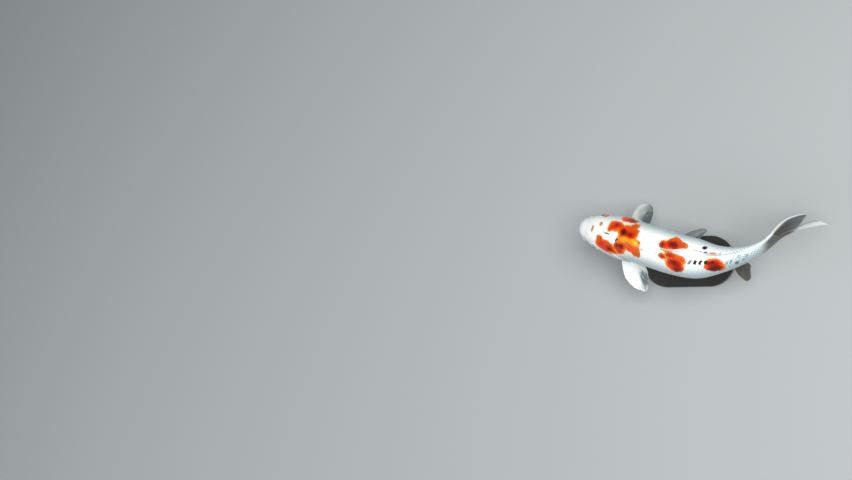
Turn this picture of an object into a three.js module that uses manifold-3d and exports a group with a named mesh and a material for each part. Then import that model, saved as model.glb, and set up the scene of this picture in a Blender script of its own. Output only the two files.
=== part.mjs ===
// Koi carp, life size, as a still museum model on a plain two-rod display stand.
// Millimetres, +Z up.  The head points to -X and the tail to +X; the fish's left side is -Y.
// The body is first laid out straight, in fish coordinates (distance behind the snout,
// distance to the fish's left, height above the mid line), and then bent along its spine.
import * as THREE from 'three';
import { mergeVertices } from 'three/addons/utils/BufferGeometryUtils.js';
import Module from 'manifold-3d';

const wasm = await Module();
wasm.setup();

// ---------------------------------------------------------------- driving dimensions
const BODY = 450;            // snout to the root of the tail fin
const LIFT = 165;            // height of the fish's mid line over the table
const SPINE_STILL = 0.46;    // the place along the body that stands over the origin
const GAP = 0.3;             // clearance between neighbouring pieces
const SECTION_POWER = 2.2;   // 2 is an ellipse, more is squarer
const NOSE = 0.05;           // length of the snout's rounding, as a share of BODY

// Shares of BODY at stations along the body.
const AT = [0, 0.05, 0.1, 0.16, 0.215, 0.26, 0.34, 0.45, 0.55, 0.65, 0.75, 0.85, 0.93, 1];
const BACK = [0.012, 0.034, 0.061, 0.086, 0.104, 0.116, 0.129, 0.136, 0.13, 0.114, 0.092,
  0.069, 0.058, 0.062];
const BELLY = [-0.058, -0.072, -0.088, -0.101, -0.11, -0.114, -0.121, -0.124, -0.118, -0.102,
  -0.079, -0.059, -0.052, -0.058];
const WAIST = [-0.026, -0.022, -0.014, -0.01, -0.008, -0.004, 0, 0.002, 0.002, 0, 0, 0, 0, 0];
const FLANK = [0.047, 0.056, 0.079, 0.0915, 0.102, 0.1055, 0.0995, 0.0995, 0.097, 0.09, 0.0615,
  0.039, 0.0255, 0.012];
// Heading of the spine: the skull is straight, the tail sweeps round to the fish's right.
const TURN_AT = [0, 0.16, 0.32, 0.4, 0.5, 0.62, 0.75, 0.88, 1];
const TURN = [17.2, 17.2, 17.2, 18.6, 18.4, 10, -3, -18.5, -40];

// Stand.
const BASE = { length: 204, width: 112, height: 12, corner: 52, chamfer: 2 };
const ROD_RADIUS = 4;
const RODS = { stand_rod_front: 0.34, stand_rod_rear: 0.6 };

// ---------------------------------------------------------------- small helpers
const rad = (degrees) => degrees * Math.PI / 180;
const mix = (a, b, t) => a + (b - a) * t;
const clamp01 = (t) => Math.min(1, Math.max(0, t));
const smooth = (a, b, t) => {
  const k = clamp01((t - a) / (b - a));
  return k * k * (3 - 2 * k);
};

/** A smooth curve through the values ys at the stations xs (cubic Hermite). */
function curve(xs, ys, x) {
  let i = 0;
  while (i < xs.length - 2 && x >= xs[i + 1]) i += 1;
  const slope = (k) => (ys[k + 1] - ys[k]) / (xs[k + 1] - xs[k]);
  const tangent = (k) => {
    if (k === 0) return slope(0);
    if (k === xs.length - 1) return slope(k - 1);
    return (slope(k - 1) + slope(k)) / 2;
  };
  const h = xs[i + 1] - xs[i];
  const t = (x - xs[i]) / h;
  const t2 = t * t;
  const t3 = t2 * t;
  return (2 * t3 - 3 * t2 + 1) * ys[i] + (t3 - 2 * t2 + t) * h * tangent(i)
    + (3 * t2 - 2 * t3) * ys[i + 1] + (t3 - t2) * h * tangent(i + 1);
}

// ---------------------------------------------------------------- the spine
const STEPS = 1000;
const spine = [];
{
  let x = 0;
  let y = 0;
  let last = rad(TURN[0]);
  for (let i = 0; i <= STEPS; i += 1) {
    const heading = rad(curve(TURN_AT, TURN, i / STEPS));
    if (i > 0) {
      x += (Math.cos(heading) + Math.cos(last)) / 2 * BODY / STEPS;
      y -= (Math.sin(heading) + Math.sin(last)) / 2 * BODY / STEPS;
    }
    spine.push({ x, y, heading });
    last = heading;
  }
  const still = spine[Math.round(SPINE_STILL * STEPS)];
  const { x: x0, y: y0 } = still;
  for (const p of spine) {
    p.x -= x0;
    p.y -= y0;
  }
}

/** Plan position and heading at a distance behind the snout, straight on past both ends. */
function along(distance) {
  const f = distance / BODY * STEPS;
  const i = Math.min(STEPS - 1, Math.max(0, Math.floor(f)));
  const t = Math.min(1, Math.max(0, f - i));
  const a = spine[i];
  const b = spine[i + 1];
  const heading = mix(a.heading, b.heading, t);
  const extra = Math.max(0, distance - BODY) + Math.min(0, distance);
  return {
    x: mix(a.x, b.x, t) + Math.cos(heading) * extra,
    y: mix(a.y, b.y, t) - Math.sin(heading) * extra,
    heading,
  };
}

/** Fish coordinates [behind, left, up] to the part's own frame. */
function bend([behind, left, up]) {
  const c = along(behind);
  return [
    c.x - Math.sin(c.heading) * left,
    c.y - Math.cos(c.heading) * left,
    up + LIFT,
  ];
}

// ---------------------------------------------------------------- the body's sections
/** Point of the body's surface at share s and angle a; grow swells it by millimetres. */
function skin(s, a, grow = 0) {
  const k = Math.sqrt(clamp01(1 - (1 - clamp01(s / NOSE)) ** 2));
  const w = curve(AT, WAIST, s) * BODY;
  const up = (curve(AT, BACK, s) * BODY - w) * k + grow;
  const down = (w - curve(AT, BELLY, s) * BODY) * k + grow;
  const side = curve(AT, FLANK, s) * BODY * k + grow;
  const c = Math.cos(a);
  const n = Math.sin(a);
  const cy = Math.sign(c) * Math.abs(c) ** (2 / SECTION_POWER);
  const sy = Math.sign(n) * Math.abs(n) ** (2 / SECTION_POWER);
  return [s * BODY, side * cy, w + (sy > 0 ? up : down) * sy];
}

/** A closed mesh from rings of points; each ring has the same count, ends get a fan. */
function loft(rings, capStart = null, capEnd = null) {
  const points = rings.flat();
  const count = rings[0].length;
  const faces = [];
  for (let r = 0; r < rings.length - 1; r += 1) {
    for (let i = 0; i < count; i += 1) {
      const j = (i + 1) % count;
      const a = r * count + i;
      const b = r * count + j;
      faces.push(a, b, b + count, a, b + count, a + count);
    }
  }
  const centre = (ring) => ring.reduce(
    (m, p) => [m[0] + p[0] / count, m[1] + p[1] / count, m[2] + p[2] / count],
    [0, 0, 0],
  );
  const first = points.length;
  points.push(capStart ?? centre(rings[0]));
  points.push(capEnd ?? centre(rings[rings.length - 1]));
  const lastRing = (rings.length - 1) * count;
  for (let i = 0; i < count; i += 1) {
    const j = (i + 1) % count;
    faces.push(first, j, i);
    faces.push(first + 1, lastRing + i, lastRing + j);
  }
  return { points, faces };
}

/** Turn a {points, faces} mesh into a manifold solid, outward whichever way it was wound. */
function solid({ points, faces }) {
  let volume = 0;
  for (let f = 0; f < faces.length; f += 3) {
    const [a, b, c] = [points[faces[f]], points[faces[f + 1]], points[faces[f + 2]]];
    volume += a[0] * (b[1] * c[2] - b[2] * c[1]) + a[1] * (b[2] * c[0] - b[0] * c[2])
      + a[2] * (b[0] * c[1] - b[1] * c[0]);
  }
  const order = volume > 0 ? faces : faces.slice().reverse();
  const mesh = new wasm.Mesh({
    numProp: 3,
    vertProperties: new Float32Array(points.flat()),
    triVerts: new Uint32Array(order),
  });
  return new wasm.Manifold(mesh);
}

/** Send every corner of a {points, faces} mesh through a function. */
const mapped = (mesh, f) => ({ points: mesh.points.map(f), faces: mesh.faces });

/** The corners and faces of a manifold solid. */
function meshOf(manifold) {
  const got = manifold.getMesh();
  const points = [];
  for (let i = 0; i < got.vertProperties.length; i += got.numProp) {
    points.push([got.vertProperties[i], got.vertProperties[i + 1], got.vertProperties[i + 2]]);
  }
  return { points, faces: Array.from(got.triVerts) };
}

const SIDES = 26;
const angles = Array.from({ length: SIDES }, (_, i) => (i + 0.5) / SIDES * 2 * Math.PI);

/** A length of the body between two stations, straight, swollen by grow. */
function bodyLength(from, to, rings, grow = 0) {
  const list = [];
  for (let r = 0; r <= rings; r += 1) {
    const t = r / rings;
    const s = mix(from, to, from < NOSE ? t ** 1.7 : t);
    list.push(angles.map((a) => skin(Math.max(s, 0.0012), a, grow)));
  }
  const tip = from < NOSE ? [-grow, 0, WAIST[0] * BODY] : null;
  return loft(list, tip);
}

// ---------------------------------------------------------------- building and naming
const fish = new THREE.Group();
fish.name = 'koi_carp';

function add(name, mesh, colour, roughness, metalness = 0, opacity = 1) {
  const { points, faces } = meshOf(mesh);
  const geometry = new THREE.BufferGeometry();
  geometry.setAttribute('position', new THREE.Float32BufferAttribute(points.flat(), 3));
  geometry.setIndex(faces);
  geometry.computeVertexNormals();
  const material = new THREE.MeshStandardMaterial({ color: colour, roughness, metalness });
  material.name = `${name}_finish`;
  material.opacity = opacity;
  const piece = new THREE.Mesh(geometry, material);
  piece.name = name;
  fish.add(piece);
}

const WHITE = 0xf1f3f0;
const FIN = 0xdfe4df;

// ---------------------------------------------------------------- head and gill covers
const HEAD_END = 0.262;
const EYE = { at: 0.135, left: 31.2, up: 12, radius: 8.2 };
const headAndTrunk = solid(bodyLength(0, 0.6, 28));

/** The gill cover's outline seen from the side: blunt in front, round behind. */
function coverOutline(grow) {
  const centre = [112, -4];
  const list = [];
  for (let i = 0; i < 20; i += 1) {
    const a = i / 20 * 2 * Math.PI;
    const reach = Math.cos(a) > 0 ? 28 : 24;
    const tall = Math.sin(a) > 0 ? 34 : 33;
    const lean = -5 * Math.sin(a) ** 2;
    list.push([
      centre[0] + lean + (reach + grow) * Math.sign(Math.cos(a)) * Math.abs(Math.cos(a)) ** 0.85,
      centre[1] + (tall + grow) * Math.sin(a),
    ]);
  }
  return list;
}

/** A prism through the cover's outline on one side of the head. */
function coverPrism(side, grow) {
  const outline = coverOutline(grow);
  return solid(loft([
    outline.map(([x, z]) => [x, side * 12, z]),
    outline.map(([x, z]) => [x, side * 80, z]),
  ]));
}

const COVER_DEPTH = 5;
const inner = solid(bodyLength(0.06, 0.5, 18, -COVER_DEPTH));
const innermost = solid(bodyLength(0.06, 0.5, 18, -COVER_DEPTH - GAP));
let flesh = headAndTrunk;
for (const side of [1, -1]) {
  const plate = headAndTrunk.intersect(coverPrism(side, 0)).subtract(inner);
  flesh = flesh.subtract(coverPrism(side, GAP).subtract(innermost));
  const name = side > 0 ? 'gill_cover_left' : 'gill_cover_right';
  add(name, solid(mapped(meshOf(plate), bend)), WHITE, 0.35);
}

/** A ball in fish coordinates. */
function ball(centre, radius, detail = 14) {
  const rings = [];
  for (let r = 1; r < detail; r += 1) {
    const polar = r / detail * Math.PI;
    rings.push(Array.from({ length: 2 * detail }, (_, i) => {
      const a = i / detail * Math.PI;
      return [
        centre[0] + radius * Math.sin(polar) * Math.cos(a),
        centre[1] + radius * Math.cos(polar),
        centre[2] + radius * Math.sin(polar) * Math.sin(a),
      ];
    }));
  }
  return loft(
    rings,
    [centre[0], centre[1] + radius, centre[2]],
    [centre[0], centre[1] - radius, centre[2]],
  );
}

for (const side of [1, -1]) {
  const seat = [EYE.at * BODY, side * EYE.left, EYE.up];
  flesh = flesh.subtract(solid(ball(seat, EYE.radius + GAP, 8)));
  add(side > 0 ? 'eye_left' : 'eye_right', solid(mapped(ball(seat, EYE.radius, 8), bend)), 0x14110d, 0.12);
  // Nostril, a small pit before the eye.
  const pit = [0.078 * BODY, side * 17.5, 17.5];
  flesh = flesh.subtract(solid(ball(pit, 3, 5)));
}

// The mouth: a shallow curved slit between the lips, under the tip of the snout.
const MOUTH = { up: -19.5, open: 1.1, deep: 15 };
const slit = [];
for (let i = 0; i <= 8; i += 1) {
  const across = mix(-34, 34, i / 8);
  const droop = -0.007 * across * across;
  slit.push([
    [-8, across, MOUTH.up + droop],
    [MOUTH.deep, across, MOUTH.up + droop + 0.2],
    [MOUTH.deep, across, MOUTH.up + droop + MOUTH.open - 0.2],
    [-8, across, MOUTH.up + droop + MOUTH.open],
  ]);
}
flesh = flesh.subtract(solid(loft(slit)));

/** The slice of a straight solid between two distances behind the snout. */
function slice(body, from, to) {
  const box = wasm.Manifold.cube([(to - from), 400, 400]).translate([from, -200, -200]);
  return body.intersect(box);
}
const headSolid = slice(flesh, -20, HEAD_END * BODY - GAP / 2);
const trunkSolid = slice(flesh, HEAD_END * BODY + GAP / 2, 0.6 * BODY - 0.01);
add('head', solid(mapped(meshOf(headSolid), bend)), WHITE, 0.35);
add('trunk_front', solid(mapped(meshOf(trunkSolid), bend)), WHITE, 0.35);
add('trunk_rear', solid(mapped(bodyLength(0.6 + GAP / BODY, 0.8, 9), bend)), WHITE, 0.35);
add('tail_stalk', solid(mapped(bodyLength(0.8 + GAP / BODY, 1, 10), bend)), WHITE, 0.35);

// The body with a skin of clearance round it, taken off whatever grows from the body.
const clear = solid(mapped(bodyLength(0.02, 1, 50, GAP + 0.1), bend));

// ---------------------------------------------------------------- fins
/**
 * A fin as a thin closed blade.  place(u, v) gives a point in fish coordinates for u across
 * the rays and v along them; half(u, v) is half the thickness; face(u, v) is its direction.
 */
function blade(place, half, across, down, face) {
  const rings = [];
  for (let i = 0; i <= across; i += 1) {
    const u = i / across;
    const one = [];
    const two = [];
    for (let j = 0; j <= down; j += 1) {
      const v = j / down;
      const p = place(u, v);
      const n = face(u, v);
      const h = half(u, v);
      one.push([p[0] + n[0] * h, p[1] + n[1] * h, p[2] + n[2] * h]);
      two.push([p[0] - n[0] * h, p[1] - n[1] * h, p[2] - n[2] * h]);
    }
    rings.push([...one, ...two.reverse()]);
  }
  return loft(rings);
}

/** Direction square to a surface given by place(u, v), from its own slopes. */
function squareTo(place) {
  return (u, v) => {
    const e = 0.02;
    const u0 = clamp01(u - e);
    const u1 = clamp01(u + e);
    const v0 = clamp01(v - e);
    const v1 = clamp01(v + e);
    const du = new THREE.Vector3(...place(u1, v)).sub(new THREE.Vector3(...place(u0, v)));
    const dv = new THREE.Vector3(...place(u, v1)).sub(new THREE.Vector3(...place(u, v0)));
    const n = du.cross(dv).normalize();
    return [n.x, n.y, n.z];
  };
}

/**
 * A paired or single fin whose rays fan out from a short base.
 * root0, root1: ends of the base.  Each ray leaves at an angle back from straight out
 * (sweep) and below level (droop), and bends back by half of curl on its way to the rim;
 * its length follows a curve over u; cup bows the blade.
 */
function fanFin(f, side) {
  return (u, v) => {
    const droop = rad(mix(f.droop[0], f.droop[1], u));
    const reach = curve(f.stations, f.reach, u);
    const length = mix(-f.buried, reach, v);
    const out = Math.max(0, length);
    const sweep = rad(mix(f.sweep[0], f.sweep[1], u) - f.curl / 2 * out / reach);
    const bow = f.cup * (out / f.reach[3]) ** 2;
    return [
      mix(f.root0[0], f.root1[0], u) + length * Math.cos(sweep),
      side * (mix(f.root0[1], f.root1[1], u) + length * Math.sin(sweep) * Math.cos(droop)),
      mix(f.root0[2], f.root1[2], u) - length * Math.sin(sweep) * Math.sin(droop) + bow,
    ];
  };
}
const fanHalf = (u, v) => mix(1.7, 0.45, v ** 0.6) * mix(1, 0.75, u);

const STATIONS = [0, 0.15, 0.3, 0.45, 0.6, 0.8, 1];
const PECTORAL_LEFT = {
  root0: [105.4, 34, -37], root1: [146, 36, -42], sweep: [82.3, 41.1], curl: 26,
  droop: [18, 30], stations: STATIONS, reach: [52, 69.6, 77.7, 82, 65.1, 43.9, 20],
  buried: 10, cup: -3,
};
const PECTORAL_RIGHT = {
  root0: [108, 34, -37], root1: [130, 36, -42], sweep: [133, 94], curl: 56,
  droop: [32, 40], stations: STATIONS, reach: [59, 68.5, 70, 64.5, 51, 33.5, 19],
  buried: 10, cup: -3,
};
const PELVIC_RIGHT = {
  root0: [203, 22, -50], root1: [220, 17, -52], sweep: [69.3, 60], curl: 37,
  droop: [14, 22], stations: STATIONS, reach: [57, 64.6, 73, 76, 75, 57, 48],
  buried: 9, cup: -2,
};
const PELVIC_LEFT = {
  root0: [203, 22, -50], root1: [220, 17, -52], sweep: [42, 22], curl: 16,
  droop: [58, 80], stations: STATIONS, reach: [50, 60, 67, 69, 64, 52, 38],
  buried: 9, cup: -2,
};

/** Bend a fin into place and take the body's clearance off its root. */
function addFin(name, mesh, colour = FIN) {
  const whole = solid(mapped(mesh, bend)).subtract(clear);
  const largest = whole.decompose().sort((a, b) => b.volume() - a.volume())[0];
  add(name, largest, colour, 0.45);
}
for (const [name, f, side] of [
  ['pectoral_fin_left', PECTORAL_LEFT, 1],
  ['pectoral_fin_right', PECTORAL_RIGHT, -1],
  ['pelvic_fin_left', PELVIC_LEFT, 1],
  ['pelvic_fin_right', PELVIC_RIGHT, -1],
]) {
  const place = fanFin(f, side);
  addFin(name, blade(place, fanHalf, 10, 5, squareTo(place)));
}

// Dorsal fin: folded down, its long front rays laid back over the ridge.
const DORSAL = { from: 0.49, to: 0.84, rise: 17, front: 64, rear: 24, buried: 9, lean: 9 };
const dorsal = (u, v) => {
  const s = mix(DORSAL.from, DORSAL.to, u);
  const reach = mix(DORSAL.front, DORSAL.rear, u ** 0.7) * mix(0.35, 1, smooth(0, 0.06, u) ** 0.5);
  const length = mix(-DORSAL.buried / Math.sin(rad(DORSAL.rise)) * 0.6, reach, v);
  const up = length * Math.sin(rad(DORSAL.rise));
  const behind = s * BODY + length * Math.cos(rad(DORSAL.rise));
  const ridge = curve(AT, BACK, Math.min(1, behind / BODY)) * BODY;
  const lean = -DORSAL.lean * smooth(0, 18, up) * smooth(0.52, 0.64, behind / BODY)
    * (1 - smooth(0.66, 0.78, behind / BODY));
  return [behind, lean, ridge + up];
};
addFin('dorsal_fin', blade(dorsal, (u, v) => mix(1.8, 0.5, v), 18, 3, () => [0, 1, 0]));

// Anal fin: short, hanging below the tail stalk and pressed over to the left.
const ANAL = {
  from: 0.76, to: 0.825, stations: [0, 0.25, 0.5, 0.75, 1], reach: [36, 50, 47, 34, 24],
  buried: 8,
};
const anal = (u, v) => {
  const s = mix(ANAL.from, ANAL.to, u);
  const length = mix(-ANAL.buried, curve(ANAL.stations, ANAL.reach, u), v);
  const over = rad(mix(14, 62, clamp01(length / 48)));
  const back = 0.22 + 0.2 * u;
  return [
    s * BODY + back * length,
    Math.max(0, length) * Math.sin(over) * 0.86,
    curve(AT, BELLY, s) * BODY - length * Math.cos(over / 2) * 0.9,
  ];
};
addFin('anal_fin', blade(anal, (u, v) => mix(1.6, 0.45, v), 8, 6, squareTo(anal)));

// Tail fin: two lobes on one upright sheet that trails back from the stroke.
const TAIL = { crotch: 51, reach: 49, spread: 86, root: 26.5, turn: 45, settle: 110 };
const tailPlan = [];
{
  const end = along(BODY);
  let { x, y } = end;
  for (let i = 0; i <= 140; i += 1) {
    const heading = end.heading + rad(TAIL.turn) * Math.min(1.3, i / TAIL.settle);
    tailPlan.push({ x, y, heading });
    x += Math.cos(heading);
    y -= Math.sin(heading);
  }
}
/** Tail sheet point: distance behind the root, offset to the left, height. */
function tailPoint([back, left, up]) {
  const i = Math.min(138, Math.max(0, Math.floor(back)));
  const t = back - i;
  const a = tailPlan[i];
  const b = tailPlan[i + 1];
  const heading = mix(a.heading, b.heading, clamp01(t));
  return [
    mix(a.x, b.x, t) - Math.sin(heading) * left,
    mix(a.y, b.y, t) - Math.cos(heading) * left,
    up + LIFT,
  ];
}
/** How far each lobe is pressed to the left (+) or right (-) by the water. */
function lobeFlex(sign, u, v) {
  const along = v ** 1.5;
  if (sign > 0) {
    const belly = Math.sin(Math.PI * clamp01((v - 0.22) / 0.78));
    return mix(5.1, 2.1, u) * along - 5.5 * u * u * belly;
  }
  return (5.1 - 18 * smooth(0, 0.72, u) + 4.5 * smooth(0.75, 1, u)) * along;
}
/** One lobe: u from the middle ray (0) to the leading edge (1), v along the ray. */
function lobe(sign) {
  return (u, v) => {
    const start = [GAP, mix(0.25, TAIL.root, u)];
    const end = [
      TAIL.crotch + TAIL.reach * u * mix(1, 0.985, smooth(0.9, 1, u)),
      mix(0.25, TAIL.spread, u ** 1.35),
    ];
    const bow = [mix(22, 26, u), mix(1.2, 33, u)];
    const a = (1 - v) * (1 - v);
    const b = 2 * v * (1 - v);
    const c = v * v;
    const back = a * start[0] + b * bow[0] + c * end[0];
    const up = a * start[1] + b * bow[1] + c * end[1];
    return [back, lobeFlex(sign, u, v), sign * up];
  };
}
function tailHalf(u, v) {
  const root = mix(4.9, 3.4, u);
  return mix(mix(root, 0.9, smooth(0, 0.32, v)), 0.45, v);
}
for (const [name, sign] of [['tail_fin_upper', 1], ['tail_fin_lower', -1]]) {
  const place = lobe(sign);
  const mesh = blade(place, tailHalf, 9, 9, () => [0, 1, 0]);
  const fin = solid(mapped(mesh, tailPoint)).subtract(clear);
  add(name, fin.decompose().sort((a, b) => b.volume() - a.volume())[0], FIN, 0.45);
}

// ---------------------------------------------------------------- barbels
// Two pairs: a short one on the upper lip and a longer one at the corners of the mouth.
const BARBELS = {
  barbel_lip_left: { s: 0.03, angle: -0.1, side: 1, reach: 13, radius: 1.4, away: 2 },
  barbel_lip_right: { s: 0.03, angle: -0.1, side: -1, reach: 13, radius: 1.4, away: 2 },
  barbel_corner_left: { s: 0.044, angle: -0.75, side: 1, reach: 24, radius: 1.8, away: 2.4 },
  barbel_corner_right: { s: 0.044, angle: -0.75, side: -1, reach: 24, radius: 1.8, away: 2.4 },
};
for (const [name, b] of Object.entries(BARBELS)) {
  const root = skin(b.s, b.angle);
  const rings = [];
  for (let i = 0; i <= 6; i += 1) {
    const out = mix(b.away, b.reach, i / 6);
    const sag = 0.012 * out * out;
    const centre = [
      root[0] + 0.2 * out + sag,
      b.side * (root[1] + 0.72 * out - sag),
      root[2] - 0.5 * out - sag,
    ];
    const r = b.radius * mix(1, 0.5, (i / 6) ** 2);
    rings.push(Array.from({ length: 6 }, (_, k) => {
      const a = k / 3 * Math.PI;
      return [
        centre[0] + r * Math.cos(a),
        centre[1] + b.side * 0.5 * r * Math.sin(a),
        centre[2] + r * Math.sin(a) * 0.85,
      ];
    }));
  }
  add(name, solid(mapped(loft(rings), bend)), 0xe8d9cf, 0.4);
}

// ---------------------------------------------------------------- display stand
const outline = new THREE.Shape();
{
  const x = BASE.length / 2 - BASE.chamfer;
  const y = BASE.width / 2 - BASE.chamfer;
  const r = BASE.corner;
  outline.moveTo(x - r, -y);
  outline.absarc(x - r, -y + r, r, -Math.PI / 2, 0);
  outline.absarc(x - r, y - r, r, 0, Math.PI / 2);
  outline.absarc(-x + r, y - r, r, Math.PI / 2, Math.PI);
  outline.absarc(-x + r, -y + r, r, Math.PI, 1.5 * Math.PI);
}
const plate = new THREE.ExtrudeGeometry(outline, {
  depth: BASE.height - 2 * BASE.chamfer,
  bevelEnabled: true,
  bevelThickness: BASE.chamfer,
  bevelSize: BASE.chamfer,
  bevelSegments: 1,
  curveSegments: 8,
});
plate.translate(0, 0, BASE.chamfer);
plate.deleteAttribute('normal');
plate.deleteAttribute('uv');
const merged = mergeVertices(plate, 1e-3);
const platePoints = [];
for (let i = 0; i < merged.attributes.position.count; i += 1) {
  platePoints.push([
    merged.attributes.position.getX(i),
    merged.attributes.position.getY(i),
    merged.attributes.position.getZ(i),
  ]);
}
const plateSolid = solid({ points: platePoints, faces: Array.from(merged.index.array) });
add('stand_base', plateSolid, 0x2b2a29, 0.45);
for (const [name, s] of Object.entries(RODS)) {
  const c = along(s * BODY);
  const tall = LIFT + 30 - BASE.height - GAP;
  const rod = wasm.Manifold.cylinder(tall, ROD_RADIUS, ROD_RADIUS, 24)
    .translate([c.x, c.y, BASE.height + GAP]);
  const cut = rod.subtract(clear);
  const lowest = cut.decompose().sort((a, b) => a.boundingBox().min[2] - b.boundingBox().min[2]);
  add(name, lowest[0], 0xb9bcc0, 0.3, 0.9);
}

export default fish;
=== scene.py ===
# %% [markdown]
# # A koi carp on a display stand
# A koi is one smooth body with thin fins, so nearly all of it is a surface with two
# directions: how far behind the snout, and how far round the body.  Every piece below is
# worked out as numpy arrays on such a grid, first on a straight fish and then bent along
# the spine.  The solid model of the same fish is loaded first and gives the frame.

# %% Load the solid model
import numpy as np
import bpy
from mathutils import Matrix


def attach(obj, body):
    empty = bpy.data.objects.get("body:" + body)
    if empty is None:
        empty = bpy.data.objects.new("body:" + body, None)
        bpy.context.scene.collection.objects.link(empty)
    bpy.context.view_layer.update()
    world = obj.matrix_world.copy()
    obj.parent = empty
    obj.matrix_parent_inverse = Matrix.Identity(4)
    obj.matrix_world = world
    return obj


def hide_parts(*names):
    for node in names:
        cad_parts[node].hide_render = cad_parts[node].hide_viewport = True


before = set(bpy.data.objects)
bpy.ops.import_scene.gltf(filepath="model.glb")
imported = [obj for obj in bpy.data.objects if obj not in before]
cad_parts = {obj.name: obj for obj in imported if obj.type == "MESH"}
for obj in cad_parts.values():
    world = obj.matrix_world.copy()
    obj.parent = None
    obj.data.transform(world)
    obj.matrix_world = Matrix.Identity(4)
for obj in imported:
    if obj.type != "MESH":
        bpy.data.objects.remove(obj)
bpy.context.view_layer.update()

# %% [markdown]
# ## Helpers
# Sizes are written in millimetres, the way a fish is measured, and turned to metres only
# when a mesh is made.  A few stations joined by a smooth curve describe the outline; this
# is how a naval architect or a taxidermist would draw it.

# %% Curves and blends
MM = 0.001


def mix(a, b, t):
    """a where t is 0, b where t is 1, and evenly between."""
    return a + (b - a) * t


def smooth(a, b, x):
    """0 at a and beyond, 1 at b and beyond, S-shaped between; falls with x if b < a."""
    t = np.clip((x - a) / (b - a), 0, 1)
    return t * t * (3 - 2 * t)


def bell(x, width):
    """exp(-(x / width) squared): 1 in the middle, fading over width."""
    return np.exp(-(x / width) ** 2)


def norm(v):
    """Length of vectors (x, y, z) kept in the last axis."""
    return np.linalg.norm(v, axis=-1)


def unit(v):
    """The same vectors at length 1."""
    return v / np.maximum(norm(v), 1e-9)[..., None]


def curve(stations, values, x):
    """Cubic Hermite curve through the values, its slopes being means of the neighbours'."""
    xs = np.asarray(stations, float)
    ys = np.asarray(values, float)
    slope = np.diff(ys) / np.diff(xs)
    tangent = np.concatenate([slope[:1], (slope[1:] + slope[:-1]) / 2, slope[-1:]])
    i = np.clip(np.searchsorted(xs, x, side="right") - 1, 0, len(xs) - 2)
    h = xs[i + 1] - xs[i]
    t = (x - xs[i]) / h
    return ((2 * t**3 - 3 * t**2 + 1) * ys[i] + (t**3 - 2 * t**2 + t) * h * tangent[i]
            + (3 * t**2 - 2 * t**3) * ys[i + 1] + (t**3 - t**2) * h * tangent[i + 1])


# %% [markdown]
# ## The straight fish
# Each cross-section is a superellipse: |y/a|^p + |z/b|^p = 1, a little squarer than an
# ellipse, with its own height above and below the mid line.  The snout is rounded off by
# shrinking the first sections as a quarter circle does.  The body could be pushed into
# shape from a box; sections by formula are smooth at any size of mesh, and all that sits
# on the skin can ask them where it is.

# %% Outline of the body
BODY = 450.0          # snout to the root of the tail fin
LIFT = 165.0          # mid line over the table
COAT = 0.8            # the skin lies this far inside the solid, under the scales
POWER = 2.2
NOSE = 0.05
HEEL = 0.045          # behind the root the flesh runs out in a wedge this share long

AT = [0, 0.05, 0.1, 0.16, 0.215, 0.26, 0.34, 0.45, 0.55, 0.65, 0.75, 0.85, 0.93, 1]
BACK = [0.012, 0.034, 0.061, 0.086, 0.104, 0.116, 0.129, 0.136, 0.13, 0.114, 0.092,
        0.069, 0.058, 0.062]
BELLY = [-0.058, -0.072, -0.088, -0.101, -0.11, -0.114, -0.121, -0.124, -0.118, -0.102,
         -0.079, -0.059, -0.052, -0.058]
WAIST = [-0.026, -0.022, -0.014, -0.01, -0.008, -0.004, 0, 0.002, 0.002, 0, 0, 0, 0, 0]
FLANK = [0.047, 0.056, 0.079, 0.0915, 0.102, 0.1055, 0.0995, 0.0995, 0.097, 0.09, 0.0615,
         0.039, 0.0255, 0.012]


def body(s, turn, grow=0.0):
    """Point at share s of the body and angle turn (0 left flank, 90 back, 270 belly).

    The direction (a cos, b sin) is scaled by (|cos|^p + |sin|^p)^(-1/p), which puts it on
    the superellipse; grow moves the sections outwards.  Behind the root of the tail the
    last section thins to a wedge that sinks into the fin.
    """
    s = np.asarray(s, float)
    k = np.sqrt(np.clip(1 - (1 - np.clip(s / NOSE, 0, 1)) ** 2, 0, 1))
    past = np.clip((s - 1) / HEEL, 0, 1)
    near = np.minimum(s, 1)
    waist = curve(AT, WAIST, near) * BODY
    up = (curve(AT, BACK, near) * BODY - waist) * k * (1 - 0.5 * past**2) + grow
    down = (waist - curve(AT, BELLY, near) * BODY) * k * (1 - 0.8 * past**1.5) + grow
    side = curve(AT, FLANK, near) * BODY * k * (1 - 0.94 * smooth(0, 1, past)) + grow
    c = np.cos(np.radians(turn))
    n = np.sin(np.radians(turn))
    fit = (np.abs(c) ** POWER + np.abs(n) ** POWER) ** (-1 / POWER)
    return np.stack(np.broadcast_arrays(
        s * BODY + 0 * c, side * c * fit, waist + np.where(n > 0, up, down) * n * fit), -1)


print("body", round(2 * max(FLANK) * BODY), "mm wide,", round((max(BACK) - min(BELLY)) * BODY),
      "mm deep")

# %% [markdown]
# ## Bending the fish
# The skull is stiff, so the first third of the spine is straight; behind it the fish
# sweeps its tail round to its right, and the soft tail fin trails back the other way.  The
# heading along the spine is a smooth curve, and adding up small steps gives its path.  An
# armature could bend the finished mesh; bending the points before there is a mesh is
# exact, and leaves the piece at the origin with nothing live on it.

# %% The spine
TURN_AT = [0, 0.16, 0.32, 0.4, 0.5, 0.62, 0.75, 0.88, 1]
TURN = [17.2, 17.2, 17.2, 18.6, 18.4, 10, -3, -18.5, -40]
SPINE_STILL = 0.46    # this share of the spine stays at the frame's middle

TRAIL = 45.0          # degrees that the tail fin turns back over TRAIL_OVER mm
TRAIL_OVER = 110.0

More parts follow.
